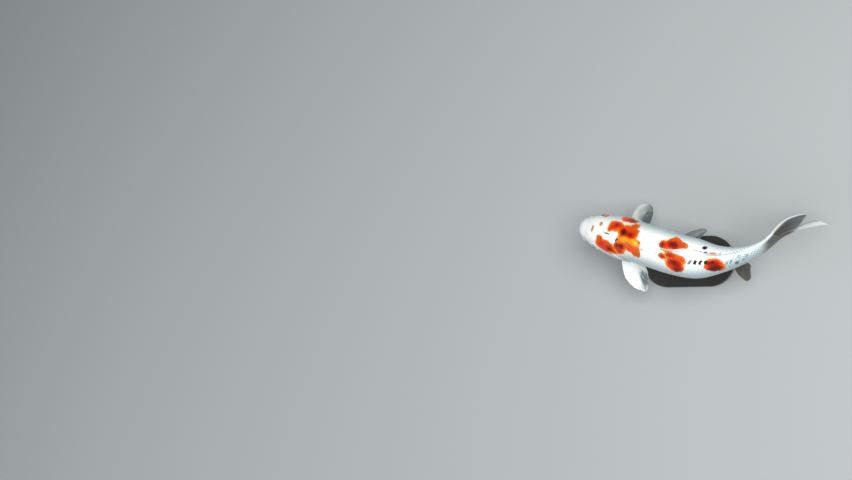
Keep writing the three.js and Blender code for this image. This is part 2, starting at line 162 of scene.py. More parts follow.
spine_s = np.linspace(0, 1.3, 1301)
spine_turn = np.radians(curve(TURN_AT, TURN, np.minimum(spine_s, 1))
                        + TRAIL * np.clip((spine_s - 1) * BODY / TRAIL_OVER, 0, 1.3))


def path_of(headings, step):
    """x and y of a path from its headings, by adding up steps (trapezium rule)."""
    dx, dy = np.cos(headings), -np.sin(headings)
    x = np.concatenate([[0], np.cumsum((dx[1:] + dx[:-1]) / 2 * step)])
    y = np.concatenate([[0], np.cumsum((dy[1:] + dy[:-1]) / 2 * step)])
    return x, y


spine_x, spine_y = path_of(spine_turn, BODY / 1000)
spine_x = spine_x - np.interp(SPINE_STILL, spine_s, spine_x)
spine_y = spine_y - np.interp(SPINE_STILL, spine_s, spine_y)


def bend(p):
    """Fish coordinates (behind, left, up) to the frame: out sideways from the spine."""
    s = p[..., 0] / BODY
    past = np.minimum(s, 0) * BODY
    a = np.interp(s, spine_s, spine_turn)
    x = np.interp(s, spine_s, spine_x) + past * np.cos(a) - np.sin(a) * p[..., 1]
    y = np.interp(s, spine_s, spine_y) - past * np.sin(a) - np.cos(a) * p[..., 1]
    return np.stack([x, y, p[..., 2] + LIFT], -1)


print("snout at", np.round(bend(body(0.0, 0.0)) * MM, 3))

# %% [markdown]
# ## Relief of the head
# The head is bare of scales and carries the fine shapes: thick lips round a mouth that
# opens a little below the tip, nostrils in a pit with a flap between, a raised rim round
# each eye, and the gill cover, a bony plate whose rear edge stands off the body.  All are
# small heights added along the surface's own direction, as a sculptor adds clay.  A bump
# pattern could fake them, but real heights also show in the outline and from the side.

# %% Small heights on the head
EYE = dict(centre=np.array([61.8, 30.4, 10.2]), axis=np.array([-0.20, 0.925, 0.32]),
           ball=8.0, opening=6.1)
COVER = dict(behind=114.0, up=-4.0, front=24.0, rear=28.0, tall=34.0, lean=5.0)

# Pores of the sense canals, as (behind, up): a ring below the eye, a row before the cover.
ring = np.radians(np.linspace(160, 385, 10))
PORES = np.concatenate([
    EYE["centre"][[0, 2]] + 14.5 * np.stack([np.cos(ring), np.sin(ring)], -1),
    [(86.5, 18), (85.5, 10), (84.5, 2), (83, -6), (79.5, -13.5), (74, -20), (66.5, -25)]])
BARBELS = [(0.03, -7.0, 13, 1.4), (0.044, -43.2, 24, 1.8)]    # share, angle, length, radius


def cover_edge(z):
    """How far behind the snout the gill cover's rear edge lies at each height."""
    v = np.clip((z - COVER["up"]) / COVER["tall"], -1, 1)
    reach = (1 - v * v) ** 0.425
    return COVER["behind"] - COVER["lean"] * v * v + COVER["rear"] * reach, v


def cover_line(turn):
    """Where the cover's edge crosses each angle: x gives z, z gives x, a dozen times over."""
    x = np.full(np.shape(turn), COVER["behind"])
    for _ in range(12):
        x = (x + cover_edge(body(x / BODY, turn)[..., 2])[0]) / 2
    return x


print(len(PORES), "pores on each side")


# %% Relief
def landmarks(p):
    """x, |y|, z, and distances in mm: d behind the gill cover's edge (v tells how high on
    it), line over the mouth's slit, one and two from the nostrils, pore from a pore."""
    x, y, z = p[..., 0], np.abs(p[..., 1]), p[..., 2]
    edge, v = cover_edge(z)
    line = z + 19.5 + 0.007 * y * y
    one, two = np.hypot(x - 33.0, y - 16.6), np.hypot((x - 38.6) * 1.2, y - 18.0)
    pore = np.min(np.hypot(x[..., None] - PORES[:, 0], z[..., None] - PORES[:, 1]), axis=-1)
    return x, y, z, x - edge, v, line, one, two, pore


def relief(p):
    """Height in mm to add at points p of the plain body; left and right are alike."""
    x, y, z, d, v, line, one, two, pore = landmarks(p)
    here = np.stack([x, y, z], -1)
    flank = smooth(18, 30, y)
    # Gill cover: swells towards its rear edge, drops there, then a groove that fills out.
    inside = smooth(1.0, 0.86, np.abs(v)) * flank
    plate = 1.3 * smooth(-30, -4, d) * smooth(0.9, -0.6, d)
    groove = -2.2 * smooth(-0.6, 1.0, d) * smooth(6.5, 1.4, d)
    h = inside * (plate + groove - 0.35 * bell(d + 4.2, 1.1))
    # The cheek's crescent before the cover runs down and then forward; fine lines fan out
    # over the cover from its upper front corner.
    front = COVER["behind"] - COVER["front"] - 24 * smooth(-2, -40, z) ** 1.5
    cheek = flank * smooth(-33, -27, z) * smooth(24, 16, z)
    h = h - 0.6 * cheek * bell(x - front, 1.5) + 0.35 * cheek * bell(x - front + 4.5, 2.2)
    away, angle = np.hypot(x - 96, z - 14), np.arctan2(z - 14, x - 96)
    fan_out = np.sin(38 * angle + 1.2 * np.sin(5 * angle)) * smooth(9, 20, away)
    h = h + 0.09 * inside * fan_out * smooth(-3, -7, d) * smooth(2, 7, x - front)
    seam = bell(z + 23 - 0.12 * (x - 112), 0.9) * smooth(92, 98, x) * smooth(134, 128, x)
    h = h - 0.5 * seam * inside
    # Eye: a raised rim round a deep socket, and a crease outside it.
    off = here - EYE["centre"]
    out = off @ EYE["axis"]
    r = norm(off - out[..., None] * EYE["axis"])
    beside = smooth(-2, 2, out)
    h = h + beside * (0.8 * bell(r - 8.0, 1.6) + 0.35 * bell(r - 6.8, 0.6)
                      - 0.45 * bell(r - 12.3, 1.6))
    h = h - beside * 3.2 * smooth(EYE["opening"] + 0.4, EYE["opening"] - 2.0, r)
    # Nostrils: a round one in front, a crescent behind, a flap between.
    above = smooth(4, 9, z)
    h = h + above * (-2.2 * bell(one, 1.4) - 2.6 * bell(two, 1.9) + 0.8 * bell(
        np.hypot((x - 35.7) * 1.6, y - 17.4), 2.3) + 0.4 * bell(two - 4.4, 1.2))
    # Mouth: the slit curves down to its corners; lips above and below, folds beyond them.
    lips = smooth(20, 14, x) * smooth(23.5, 19, y)
    h = h + lips * (-3.2 * bell(line, 0.9) + 2.0 * bell(line - 3.4, 2.2)
                    + 1.7 * bell(line + 3.2, 2.1) - 1.1 * bell(line - 7.4, 1.2)
                    - 0.9 * bell(line + 7.0, 1.3))
    # Folds: behind the upper lip, from the mouth's corner to the eye, and under the eye.
    h = h - (0.9 * bell(x - 24.5 - 0.28 * (z + 20), 1.2) * smooth(9, 15, y)
             * smooth(-27, -21, z) * smooth(-4, -13, z))
    h = h - (0.5 * bell(z + 15 - 0.30 * (x - 26), 1.3) * smooth(12, 18, y)
             * smooth(25, 31, x) * smooth(52, 44, x))
    h = h - 0.45 * beside * bell(r - 17.5, 1.3) * smooth(6, -2, z)
    # Cheek and brow: a faint hollow before the eye and a soft ridge over it.
    h = h - 0.7 * beside * bell(np.hypot(x - 45, z - 2), 7)
    h = h + 0.6 * bell(x - 60, 9) * bell(y - 24, 5) * above
    # The nape: skull plate ends in a shallow step under the first scales.
    h = h - 0.5 * bell(x - 121, 3.0) * smooth(24, 34, z)
    # Fleshy swellings where the breast fins and the barbels grow out.
    h = h + 1.6 * bell(np.hypot((x - 121) * 0.8, z + 36), 11) * smooth(20, 28, y)
    for share, turn, _, radius in BARBELS:
        h = h + 0.8 * radius * bell(norm(here - body(share, turn)), 3.0)
    return h - 0.38 * bell(pore, 0.8) * smooth(10, 15, y)


# %% Openings, and blood under the skin
def openings(p):
    """Painted shade inside the openings (gill, mouth, nostrils, pores), and how much blood shows
    pink through the skin (the same places and the eye's rim), each 0 to 1 or a little more."""
    x, y, z, d, v, line, one, two, pore = landmarks(p)
    beside = smooth(1.0, 0.88, np.abs(v)) * smooth(18, 30, y)
    above = smooth(4, 9, z)
    # Painted shade in the gill slit, deeper towards its top, in the mouth's slit and the nostrils,
    # and faintly in the pores.
    slit = np.maximum.reduce([
        bell(d - 1.4, 1.3) * beside * mix(0.75, 1.15, smooth(0, 0.6, v)),
        0.8 * bell(line, 0.7) * smooth(20, 14, x) * smooth(23.5, 19, y),
        1.1 * np.maximum(bell(one, 1.0), bell(two, 1.4)) * above,
        0.25 * bell(pore, 0.75) * smooth(10, 15, y)])
    flush = (bell(d, 4.0) * beside + bell(line, 4.5) * smooth(28, 16, x)
             + 0.7 * bell(np.hypot(x - 36.0, y - 17.4), 5.0) * above
             + 0.6 * bell(norm(np.stack([x, y, z], -1) - EYE["centre"]) - 8.0, 2.5))
    return slit, np.clip(flush, 0, 1)


# %% The sculpted skin
def skin(s, turn, grow=0.0):
    """The sculpted skin: the plain body moved out along its own normal by its relief."""
    s, turn = np.broadcast_arrays(np.asarray(s, float), np.asarray(turn, float))
    p = body(s, turn)
    e = 0.0015
    forward = body(np.minimum(s + e, 1 + HEEL), turn) - body(np.maximum(s - e, 0), turn)
    sideways = body(s, turn + 0.4) - body(s, turn - 0.4)
    n = unit(np.cross(sideways, forward))
    return p + n * (relief(p) + grow - COAT)[..., None]


# %% [markdown]
# ## Distance over the back
# Markings are laid out as on a skinned fish: how far behind the snout, and how far over
# from the ridge of the back, positive on the left.  The second is measured along the
# surface, so it is added up once on a grid and read off again by interpolation.

# %% Tape measure over the back
tape_s = np.linspace(0.001, 1, 301)
tape_turn = np.arange(-90, 271, 2.0)
tape_points = body(tape_s[:, None], tape_turn[None, :])
steps = norm(np.diff(tape_points, axis=1))
tape = np.concatenate([np.zeros((len(tape_s), 1)), np.cumsum(steps, 1)], 1)
tape = tape[:, 90:91] - tape


def over(s, turn):
    """Distance from the ridge in mm, bilinear between the grid's values."""
    fs = np.clip((s - 0.001) / 0.999, 0, 1) * (len(tape_s) - 1)
    ft = ((turn + 90) % 360) / 2
    i = np.minimum(fs.astype(int), len(tape_s) - 2)
    j = np.minimum(ft.astype(int), len(tape_turn) - 2)
    a, b = fs - i, ft - j
    return (mix(mix(tape[i, j], tape[i, j + 1], b), mix(tape[i + 1, j], tape[i + 1, j + 1], b), a))


print("half way round at the deepest place:", round(float(tape[135, 0])), "mm")

# %% [markdown]
# ## The markings
# A koi's pattern is a white ground, patches of orange-red and a few drops of black ink.
# Each patch is a union of ovals given by centre, half lengths and slant, in millimetres
# on the laid-out skin.  The mesh carries how deep inside a patch each point is, and the
# material turns that into colour, so edges stay crisp at any size of mesh.  A painted
# image could do the same; ovals are easier to move, and never blur.

# %% Patches as ovals: behind, over, half length, half width, slant
PATCHES = dict(red=[
    # Cheek, hook over the skull, saddle behind the head, far gill cover.
    (98, 32, 31, 15.5, 12), (80, 18.5, 11, 9, 30), (118, 40, 13, 8, 20),
    (112, -19.5, 20, 13, -8), (99.5, -11, 7.5, 9.5, -12), (124, -20, 12, 9, 0),
    (144, -13, 24, 16, 0), (155, -31, 9, 12, 25), (160, -9, 12, 16, 10), (147, 8, 22, 13, 0),
    (163, 17, 24, 13, 14), (177, 27, 12, 11, 0), (135, 28, 16, 14, 0), (173, 6, 9, 8, 0),
    (131, -49, 19, 13, -10),
    # Two patches beside the dorsal fin's front, one behind.
    (253, -18, 18, 15.5, 0), (235.5, -9, 13.5, 10.5, 6), (270, -17, 15, 9, 6), (251, -29, 9, 9, 0),
    (237, 15.5, 9.5, 6.5, 0), (252, 9, 12, 6.5, 14), (263.3, 27, 17.3, 22, 0), (274, 14, 12, 8, 15),
    (336, 23.6, 18, 19.5, 0),
], core=[
    (137, -9, 10, 9, 0), (152, -7.5, 13, 7, 0), (135, 23, 14, 8, -5), (111, 36, 12, 7, 8),
    (251, -14, 15, 9, 5), (231, -8, 7, 5, 0), (236, 16, 5, 4, 0), (252, 8, 10, 4, 5),
    # The core at 334 behind and 32 over is painted shade on the rear patch's lower half.
    (262, 23, 14, 8, 10), (267, 36, 11, 11, 0), (334, 17, 12, 8, 0), (334, 32, 15, 10, 0),
    (136, -50, 13, 11, -10), (114, -20, 8, 5, 0), (137, 37, 7, 4, 30),
], pit=[
    (138, -9, 8, 6.5, 0), (154, -7, 6, 3, 0), (137, 22, 9, 4.5, -6), (147, 24, 3.5, 2, -20),
    (251.5, -15, 10, 4.5, 5), (261, 22.5, 8, 3.5, 8), (266, 42, 6, 5, 0), (251, 7.5, 7, 2.4, 5),
    # The pit at 334 behind and 31 over is painted shade at the foot of the rear patch.
    (236.5, 16, 4.5, 3, 0), (232, -7, 4, 3, 0), (334, 31, 13, 9, 0), (332, 15, 4, 4, 60),
    (112, 37, 7, 3, 0), (137, -58, 8, 6, 0),
], gold=[
    (150, 6, 30, 5.5, -2), (172, 6.5, 12, 8.5, -4), (124, 36, 9, 2.6, 22), (228, 13, 3, 3, 0),
], amber=[
    (150, 13, 18, 6, 0), (170, 16, 14, 7, 10), (155, -28, 8, 11, 20), (165, -22, 6, 10, 0),
    (228, -7, 9, 8, 0), (271, -19, 12, 7, 8), (273, 10, 12, 6, 10), (75, 22, 6, 9, 20),
    (122, -50, 9, 9, 0), (240, -23, 5, 7, -20), (237, 13, 9, 5, 0), (180, 27, 8, 9, 0),
    (318, 24, 5, 9, 0), (127, -14, 8, 4, -10), (279, 24, 4, 12, 0),
])
# Small orange flecks, faint and sharp, and ink on the bare head; the last ink oval is painted shade
# at the top of the gill opening.
FAINT = [
    (51.5, 0, 4.2, 9.5, -4), (71, -15, 5, 6.2, 0), (62, -46, 13, 11, 0), (335, -5, 12, 3.6, 3)]
INK_AND_SHADE = [(96, 2.8, 11, 1.9, 4), (83, -2, 4, 0.8, 50), (124, 12, 3, 4.5, 30), (137, 50, 10, 2.2, 66)]
# Drops of ink on the scales: behind, over, half length, half width, slant, how dark.
DROPS = np.array([
    (124.5, 12.5, 5.0, 3.4, 120, 0.85), (120, 20, 3.4, 2.0, 120, 0.4),
    (291.5, 15.5, 5.4, 2.1, 125, 0.8), (302, 14.5, 4.6, 2.8, 115, 1.0),
    (312, 14, 4.4, 2.6, 120, 1.0), (321.5, 14, 3.6, 3.2, 90, 1.0),
    (318, -19, 4.4, 4.2, 0, 1.0), (311, -8, 4.2, 2.0, 30, 0.55), (321, -6.5, 3.4, 2.6, 10, 0.85),
    (300, -10.5, 5.0, 1.6, 5, 0.4), (349, -2, 3.4, 1.8, 40, 0.5), (181, 3, 2.6, 2.4, 0, 0.55),
    (190, 15.5, 3.6, 2.8, 0, 0.45), (358, 18, 4.6, 2.0, 120, 0.45), (366, 16, 4.2, 2.0, 115, 0.5),
    (374, 25, 5.4, 2.8, 125, 0.75), (388, 21, 4.4, 2.0, 125, 0.45), (212, -7, 1.6, 1.4, 0, 0.35),
    (223, 13, 2.6, 2.0, 90, 0.35), (204, 8, 1.4, 1.4, 0, 0.3), (396, 12, 5.0, 1.8, 130, 0.4),
    (383, 8, 4.0, 1.6, 130, 0.35),
])


# %% Fields that the finish reads
def depth(ovals, x, y):
    """Millimetres inside the nearest of the ovals; negative outside.

    For each oval, (1 - distance in its own stretched units) times its half width.
    """
    best = np.full(np.shape(x), -99.0)
    for cx, cy, a, b, slant in ovals:
        c, n = np.cos(np.radians(slant)), np.sin(np.radians(slant))
        u = ((x - cx) * c + (y - cy) * n) / a
        v = (-(x - cx) * n + (y - cy) * c) / b
        best = np.maximum(best, (1 - np.sqrt(u * u + v * v + 1e-9)) * min(a, b))
    return best


def wobble(x, y):
    """A fixed irregular wander of about 1.5 mm, from a few crossed waves."""
    dx = 1.0 * np.sin(x / 5.3 + y / 7.1 + 1.3) + 0.6 * np.sin(x / 2.9 - y / 3.7)
    dy = 1.0 * np.sin(y / 4.9 - x / 8.3 + 0.4) + 0.6 * np.sin(y / 2.7 + x / 3.3 + 2.1)
    return x + dx, y + dy


def markings(s, turn):
    """The fields the skin's material reads, for points given by share and angle."""
    x, y = s * BODY, over(s, turn)
    wx, wy = wobble(x, y)
    return {key: depth(ovals, wx, wy) for key, ovals in PATCHES.items()} | {
        "faint": depth(FAINT, x, y),
        "ink": depth(INK_AND_SHADE, mix(x, wx, 0.3), mix(y, wy, 0.3)),
        "over": y + 0 * x,
        # Painted shade: blue-grey down the flanks and over the whole tail stalk, lighter on the
        # head and fading again towards the belly.
        "flank": 0.72 * smooth(16, 56, np.abs(y) + 33 * smooth(0.62, 0.9, s))
        * smooth(112, 84, np.abs(y)) * mix(0.45, 1, smooth(0.1, 0.34, s)) + 0 * x,
        # Painted shade: dark olive over the end of the tail stalk, reaching further forward low on
        # the flanks, but not along its top edge.
        "stain": 0.88 * smooth(2, 9, np.abs(y))
        * smooth(425, 452, x + 0.35 * np.minimum(np.abs(y), 45)),
    }


def nearest_drop(x, y, centre_x, centre_y):
    """Place within the oval of the drop nearest to a scale's centre, as (u, v, darkness).

    u and v are turned by the drop's slant and divided by its half sizes, so the drop is
    where u*u + v*v < 1.  They change evenly over a scale, so few vertices carry them exactly.
    """
    away = np.hypot(centre_x[..., None] - DROPS[:, 0], centre_y[..., None] - DROPS[:, 1])
    drop = DROPS[np.argmin(away, axis=-1)]
    c, n = np.cos(np.radians(drop[..., 4])), np.sin(np.radians(drop[..., 4]))
    u = ((x - drop[..., 0]) * c + (y - drop[..., 1]) * n) / drop[..., 2]
    v = (-(x - drop[..., 0]) * n + (y - drop[..., 1]) * c) / drop[..., 3]
    return u, v, drop[..., 5]


print(sum(map(len, PATCHES.values())) + len(FAINT), "ovals,", len(INK_AND_SHADE) + len(DROPS), "ink marks")

# %% [markdown]
# ## Turning grids into meshes
# A part of a piece is a set of vertices, four-cornered faces, a few triangles at the poles,
# numbers that the materials read at each vertex, and a flat map of each face for baking.
# Parts are joined to one piece at the end, so the skin is one mesh from lip to tail.

# %% Thin plates
def corners(grid):
    """The four corners of every cell of a grid of vertex numbers or of flat (u, v)."""
    four = np.stack([grid[:-1, :-1], grid[1:, :-1], grid[1:, 1:], grid[:-1, 1:]], 2)
    return four.reshape(-1, *four.shape[2:])


def facing_out(verts, faces):
    """True when the faces point outwards: the signed volume they close in is positive."""
    a, b, c, d = (verts[faces[:, i]] for i in range(4))
    total = np.einsum("ij,ij->", a, np.cross(b, c)) + np.einsum("ij,ij->", a, np.cross(c, d))
    return total > 0


def plates(top, bottom, fields, flat_top, flat_bottom, material=0):
    """Thin closed plates; top and bottom are (count, across, along, 3) and share the rim.

    fields are (count, across, along), the flat maps (count, across, along, 2).
    """
    count, nu, nv = top.shape[:3]
    upper = np.arange(nu * nv).reshape(nu, nv)
    lower = upper.copy()
    lower[1:-1, 1:-1] = nu * nv + np.arange((nu - 2) * (nv - 2)).reshape(nu - 2, nv - 2)
    size = nu * nv + (nu - 2) * (nv - 2)

    def both(above, below):
        """Values at all points of the top, then at the bottom's inner points."""
        below = below[:, 1:-1, 1:-1].reshape(count, (nu - 2) * (nv - 2), -1)
        return np.concatenate([above.reshape(count, nu * nv, -1), below], 1)

    verts = both(top, bottom).reshape(-1, 3)
    one = np.concatenate([corners(upper), corners(lower)[:, ::-1]])
    faces = (one[None] + size * np.arange(count)[:, None, None]).reshape(-1, 4)
    flat = np.stack([np.concatenate([corners(a), corners(b)[:, ::-1]])
                     for a, b in zip(flat_top, flat_bottom)]).reshape(-1, 4, 2)
    if not facing_out(verts, faces):
        faces, flat = faces[:, ::-1], flat[:, ::-1]
    return dict(verts=verts, quads=faces, quad_map=flat, tris=np.zeros((0, 3), int),
                tri_map=np.zeros((0, 3, 2)), material=material,
                fields={k: both(v, v).ravel() for k, v in fields.items()})


# %% Tubes
def tube(rings, fields, flat):
    """A closed skin round rings of points (rings, around, 3), with a pole at each end.

    flat is (rings, around + 1, 2): its last column closes the seam of the flat map.
    """
    n, m = rings.shape[:2]
    index = np.arange(n * m).reshape(n, m)
    index = np.concatenate([index, index[:, :1]], 1)
    verts = np.concatenate([rings.reshape(-1, 3), rings[:1].mean(1), rings[-1:].mean(1)])
    quads, quad_map = corners(index), corners(flat)
    first = np.stack([index[0, 1:], index[0, :-1], np.full(m, n * m)], -1)
    last = np.stack([index[-1, :-1], index[-1, 1:], np.full(m, n * m + 1)], -1)
    middle = (flat[:, 1:] + flat[:, :-1]) / 2
    away = (flat[0, 0] - flat[1, 0]) * 0.5
    tri_map = np.concatenate([
        np.stack([flat[0, 1:], flat[0, :-1], middle[0] + away], 1),
        np.stack([flat[-1, :-1], flat[-1, 1:], middle[-1] - away], 1)])
    tris = np.concatenate([first, last])
    if not facing_out(verts, quads):
        quads, quad_map, tris, tri_map = (a[:, ::-1] for a in (quads, quad_map, tris, tri_map))
    ends = {k: np.concatenate([v.ravel(), v[:1].mean(1), v[-1:].mean(1)])
            for k, v in fields.items()}
    return dict(verts=verts, quads=quads, quad_map=quad_map, tris=tris, tri_map=tri_map,
                material=0, fields=ends)


# %% Pieces
def make_piece(name, parts, materials):
    """Joins the parts to one smooth-shaded mesh at the origin, in metres."""
    starts = np.cumsum([0] + [len(p["verts"]) for p in parts])
    verts = np.concatenate([p["verts"] for p in parts]) * MM
    quads = np.concatenate([p["quads"] + a for p, a in zip(parts, starts)])
    tris = np.concatenate([p["tris"] + a for p, a in zip(parts, starts)])
    loops = np.concatenate([quads.ravel(), tris.ravel()]).astype(np.int32)
    begin = np.concatenate([np.arange(len(quads)) * 4,
                            len(quads) * 4 + np.arange(len(tris)) * 3]).astype(np.int32)
    mesh = bpy.data.meshes.new(name)
    mesh.vertices.add(len(verts))
    mesh.vertices.foreach_set("co", verts.astype(np.float32).ravel())
    mesh.loops.add(len(loops))
    mesh.loops.foreach_set("vertex_index", loops)
    mesh.polygons.add(len(begin))
    mesh.polygons.foreach_set("loop_start", begin)
    kinds = [np.full(len(p[key]), p["material"]) for key in ("quads", "tris") for p in parts]
    for finish in materials:
        mesh.materials.append(finish)
    mesh.polygons.foreach_set("material_index", np.concatenate(kinds).astype(np.int32))
    mesh.update(calc_edges=True)
    flat = np.concatenate([p[key].reshape(-1, 2) for key in ("quad_map", "tri_map")
                           for p in parts])
    mesh.uv_layers.new(name="OFBake").data.foreach_set("uv", flat.astype(np.float32).ravel())
    for key in sorted({k for p in parts for k in p["fields"]}):
        layer = mesh.attributes.new(key, "FLOAT", "POINT")
        values = np.concatenate([p["fields"].get(key, np.zeros(len(p["verts"])))
                                 for p in parts])
        layer.data.foreach_set("value", values.astype(np.float32))
    mesh.polygons.foreach_set("use_smooth", np.ones(len(begin), bool))
    mesh.validate()
    piece = bpy.data.objects.new(name, mesh)
    bpy.context.collection.objects.link(piece)
    print(name, len(verts), "vertices,", 2 * len(quads) + len(tris), "triangles")
    return piece


# %% [markdown]
# ## Materials
# Every finish starts from what the real surface is.  One function turns hex colours to the
# linear values that shaders want, and one adds a node with its settings and links.

# %% Colours and nodes
def hex_colour(code):
    """sRGB hex to linear: (c/12.92) when dark, else ((c + 0.055) / 1.055) to the 2.4."""
    c = np.array([int(code[i:i + 2], 16) for i in (0, 2, 4)]) / 255
    c = np.where(c <= 0.04045, c / 12.92, ((c + 0.055) / 1.055) ** 2.4)
    return (*c.tolist(), 1.0)


def add(tree, kind, inputs=None, **settings):
    """One node: settings are its properties; inputs are values, sockets or nodes, whose
    first output is then meant."""
    made = tree.nodes.new("ShaderNode" + kind)
    for key, value in settings.items():
        setattr(made, key, value)
    for key, value in (inputs or {}).items():
        if isinstance(value, bpy.types.Node):
            value = value.outputs[0]
        if isinstance(value, bpy.types.NodeSocket):
            tree.links.new(value, made.inputs[key])
        else:
            made.inputs[key].default_value = value
    return made


def new_material(name):
    """An empty material; returns it and its tree."""
    made = bpy.data.materials.new(name)
    made.use_nodes = True
    made.node_tree.nodes.clear()
    return made, made.node_tree


def coats(tree, ground, *layers):
    """Lays coats of colour over a ground in turn, each as (how much, sRGB hex or output).

    A third value, a number or an output, is what the amount is multiplied with.
    """
    for amount, colour, *share in layers:
        if share:
            amount = add(tree, "Math", {0: amount, 1: share[0]}, operation="MULTIPLY")
        under = hex_colour(ground) if isinstance(ground, str) else ground
        over_it = hex_colour(colour) if isinstance(colour, str) else colour
        ground = add(tree, "Mix", {0: amount, 6: under, 7: over_it},
                     data_type="RGBA").outputs[2]
    return ground


# %% [markdown]
# ## The skin's finish
# Koi skin is a wet, living leather: a bright white layer of reflecting cells with red
# pigment over it, thin at a patch's rim, where it looks yellow, and deep in its middle.
# A clear film of slime gives sharp, small highlights.  The rims wander by a fine noise,
# since the pigment follows cells and scales rather than a drawn line.
# Painted shade darkens the flanks, the end of the tail stalk, the openings and the foot of the rear
# patch.

# %% Colours of the skin
def masked(tree, name, noise, wander, low, high, amount=1.0):
    """How much of a marking shows: its depth in mm plus a wandering noise, S-shaped."""
    field = add(tree, "Attribute", attribute_name=name).outputs["Fac"]
    swing = add(tree, "Math", {0: noise, 1: 0.5}, operation="SUBTRACT")
    field = add(tree, "Math", {0: swing, 1: wander, 2: field}, operation="MULTIPLY_ADD")
    return add(tree, "MapRange", {"Value": field, "From Min": low, "From Max": high,
                                  "To Max": amount}, interpolation_type="SMOOTHSTEP")


def koi_colour(tree, place, fine, soft, on_scales):
    """The white ground with its patches, rims, cores and ink, and painted shade on the flanks, the
    tail stalk and in the openings, as one colour output.
    """
    names = ("flank", "flush", "stain") + (
        ("along", "net", "line", "drop_u", "drop_v", "drop_dark") if on_scales else ("slit",))
    at = {key: add(tree, "Attribute", attribute_name=key).outputs["Fac"] for key in names}
    broad = add(tree, "TexNoise", {"Vector": place, "Scale": 14.0, "Detail": 2.0})
    # The flank field lays painted shade, blue-grey, over the white ground.
    ground = coats(tree, "FBFCFB", (broad, "F1F6F6"), (at["flank"], "9DBAC1"),
                   (at["flush"], "F0D3C8", 0.5))
    if on_scales:
        # Each scale greys along its free edge, most of all towards the tail.
        edge = add(tree, "MapRange", {"Value": at["along"], "From Min": 0.80,
                                      "From Max": 0.97}, interpolation_type="SMOOTHSTEP")
        # The lateral line: on one row a dark dash along the middle of each scale.
        line = add(tree, "MapRange", {"Value": at["line"], "From Min": 0.89,
                                      "From Max": 0.97})
        dash = add(tree, "MapRange", {"Value": at["along"], "From Min": 0.78,
                                      "From Max": 0.68, "To Max": 0.5},
                   interpolation_type="SMOOTHSTEP")
        ground = coats(tree, ground, (edge, "7F949D", at["net"]), (line, "6F838C", dash))
    # Painted shade, dark olive, over the end of the tail stalk.
    ground = coats(tree, ground, (at["stain"], "3B3A2B"))
    red = masked(tree, "red", fine, 1.5, -1.1, -0.1)
    rim = masked(tree, "red", soft, 3.4, 5.0, 0.2, 0.85)
    # Cores and pits deepen the red; those at the foot of the rear patch are painted shade.
    thick = masked(tree, "core", soft, 5.0, -3.5, 4.5)
    pit = masked(tree, "pit", soft, 4.0, -2.5, 3.5, 0.88)
    amber = masked(tree, "amber", soft, 5.0, -3.0, 4.5, 0.85)
    gold = masked(tree, "gold", soft, 4.0, -2.0, 3.0, 0.95)
    bright = masked(tree, "gold", soft, 3.0, 2.5, 6.5)
    faint = masked(tree, "faint", fine, 1.6, -0.6, 2.0, 0.95)
    # Cells of pigment: the soft drift from red to orange is broken up by the fine noise.
    patchy = add(tree, "Math", {0: fine, 1: 0.45, 2: soft}, operation="MULTIPLY_ADD")
    patchy = add(tree, "MapRange", {"Value": patchy, "From Min": 0.58, "From Max": 0.88},
                 interpolation_type="SMOOTHSTEP")
    pigment = coats(tree, "D42E04", (patchy, "E64B05"), (rim, "F4881C"), (amber, "C65909"),
                    (thick, "9E1703"), (pit, "3A0A05"), (gold, "F09A06"), (bright, "FFDC28"))
    colour = coats(tree, ground, (faint, "CC7A1A"), (red, pigment))
    if not on_scales:
        # Ink on the bare head; its oval at the top of the gill opening is painted shade.
        ink = masked(tree, "ink", fine, 1.1, -0.5, 0.9, 0.85)
        # Painted shade in the gill slit, mouth, nostrils and pores.
        return coats(tree, colour, (ink, "1E2829"), (at["slit"], "352F30", 0.8))
    # Drops of ink: dark where (u, v) is shorter than 1, their edge ragged by the noise.
    away = add(tree, "CombineXYZ", {0: at["drop_u"], 1: at["drop_v"]})
    away = add(tree, "VectorMath", {0: away}, operation="LENGTH").outputs["Value"]
    ragged = add(tree, "Math", {0: fine, 1: 1.1, 2: away}, operation="MULTIPLY_ADD")
    spot = add(tree, "MapRange", {"Value": ragged, "From Min": 2.0, "From Max": 1.55},
               interpolation_type="SMOOTHSTEP")
    return coats(tree, colour, (spot, "152128", at["drop_dark"]))


# %% Wet koi skin
def wet_koi(name, on_scales):
    """Wet skin: IOR 1.4 as for tissue, a thin clear film of water and slime over it."""
    made, tree = new_material(name)
    place = add(tree, "TexCoord").outputs["Object"]
    fine = add(tree, "TexNoise", {"Vector": place, "Scale": 260.0, "Detail": 3.0})
    soft = add(tree, "TexNoise", {"Vector": place, "Scale": 55.0, "Detail": 2.0})
    colour = koi_colour(tree, place, fine, soft, on_scales)
    grain = add(tree, "TexNoise", {"Vector": place, "Scale": 900.0, "Detail": 2.0})
    bump = add(tree, "Bump", {"Height": grain, "Strength": 0.12, "Distance": 0.0004})
    gloss = add(tree, "MapRange", {"Value": soft, "To Min": 0.34, "To Max": 0.50})
    shader = add(tree, "BsdfPrincipled", {
        "Base Color": colour, "Roughness": gloss, "IOR": 1.40, "Specular IOR Level": 0.3,
        "Coat Weight": 0.3, "Coat Roughness": 0.13, "Coat IOR": 1.33, "Normal": bump})
    add(tree, "OutputMaterial", {"Surface": shader})
    print(name, len(tree.nodes), "nodes")
    return made


koi_skin = wet_koi("koi_skin_wet", on_scales=False)
koi_scale = wet_koi("koi_scales_wet", on_scales=True)

# %% [markdown]
# ## The fins' finish
# A fin is a clear film stretched between bony rays.  The rays are milky and solid, the film
# between them lets light through and greys towards its rim.  Painted shade darkens the fins
# in streaks along the rays, blue-grey, and olive-brown over the far breast fin, the belly
# fins and the anal fin, and at the roots of the tail's lobes.
# The blades carry where their rays run, so the finish follows them on every fin.

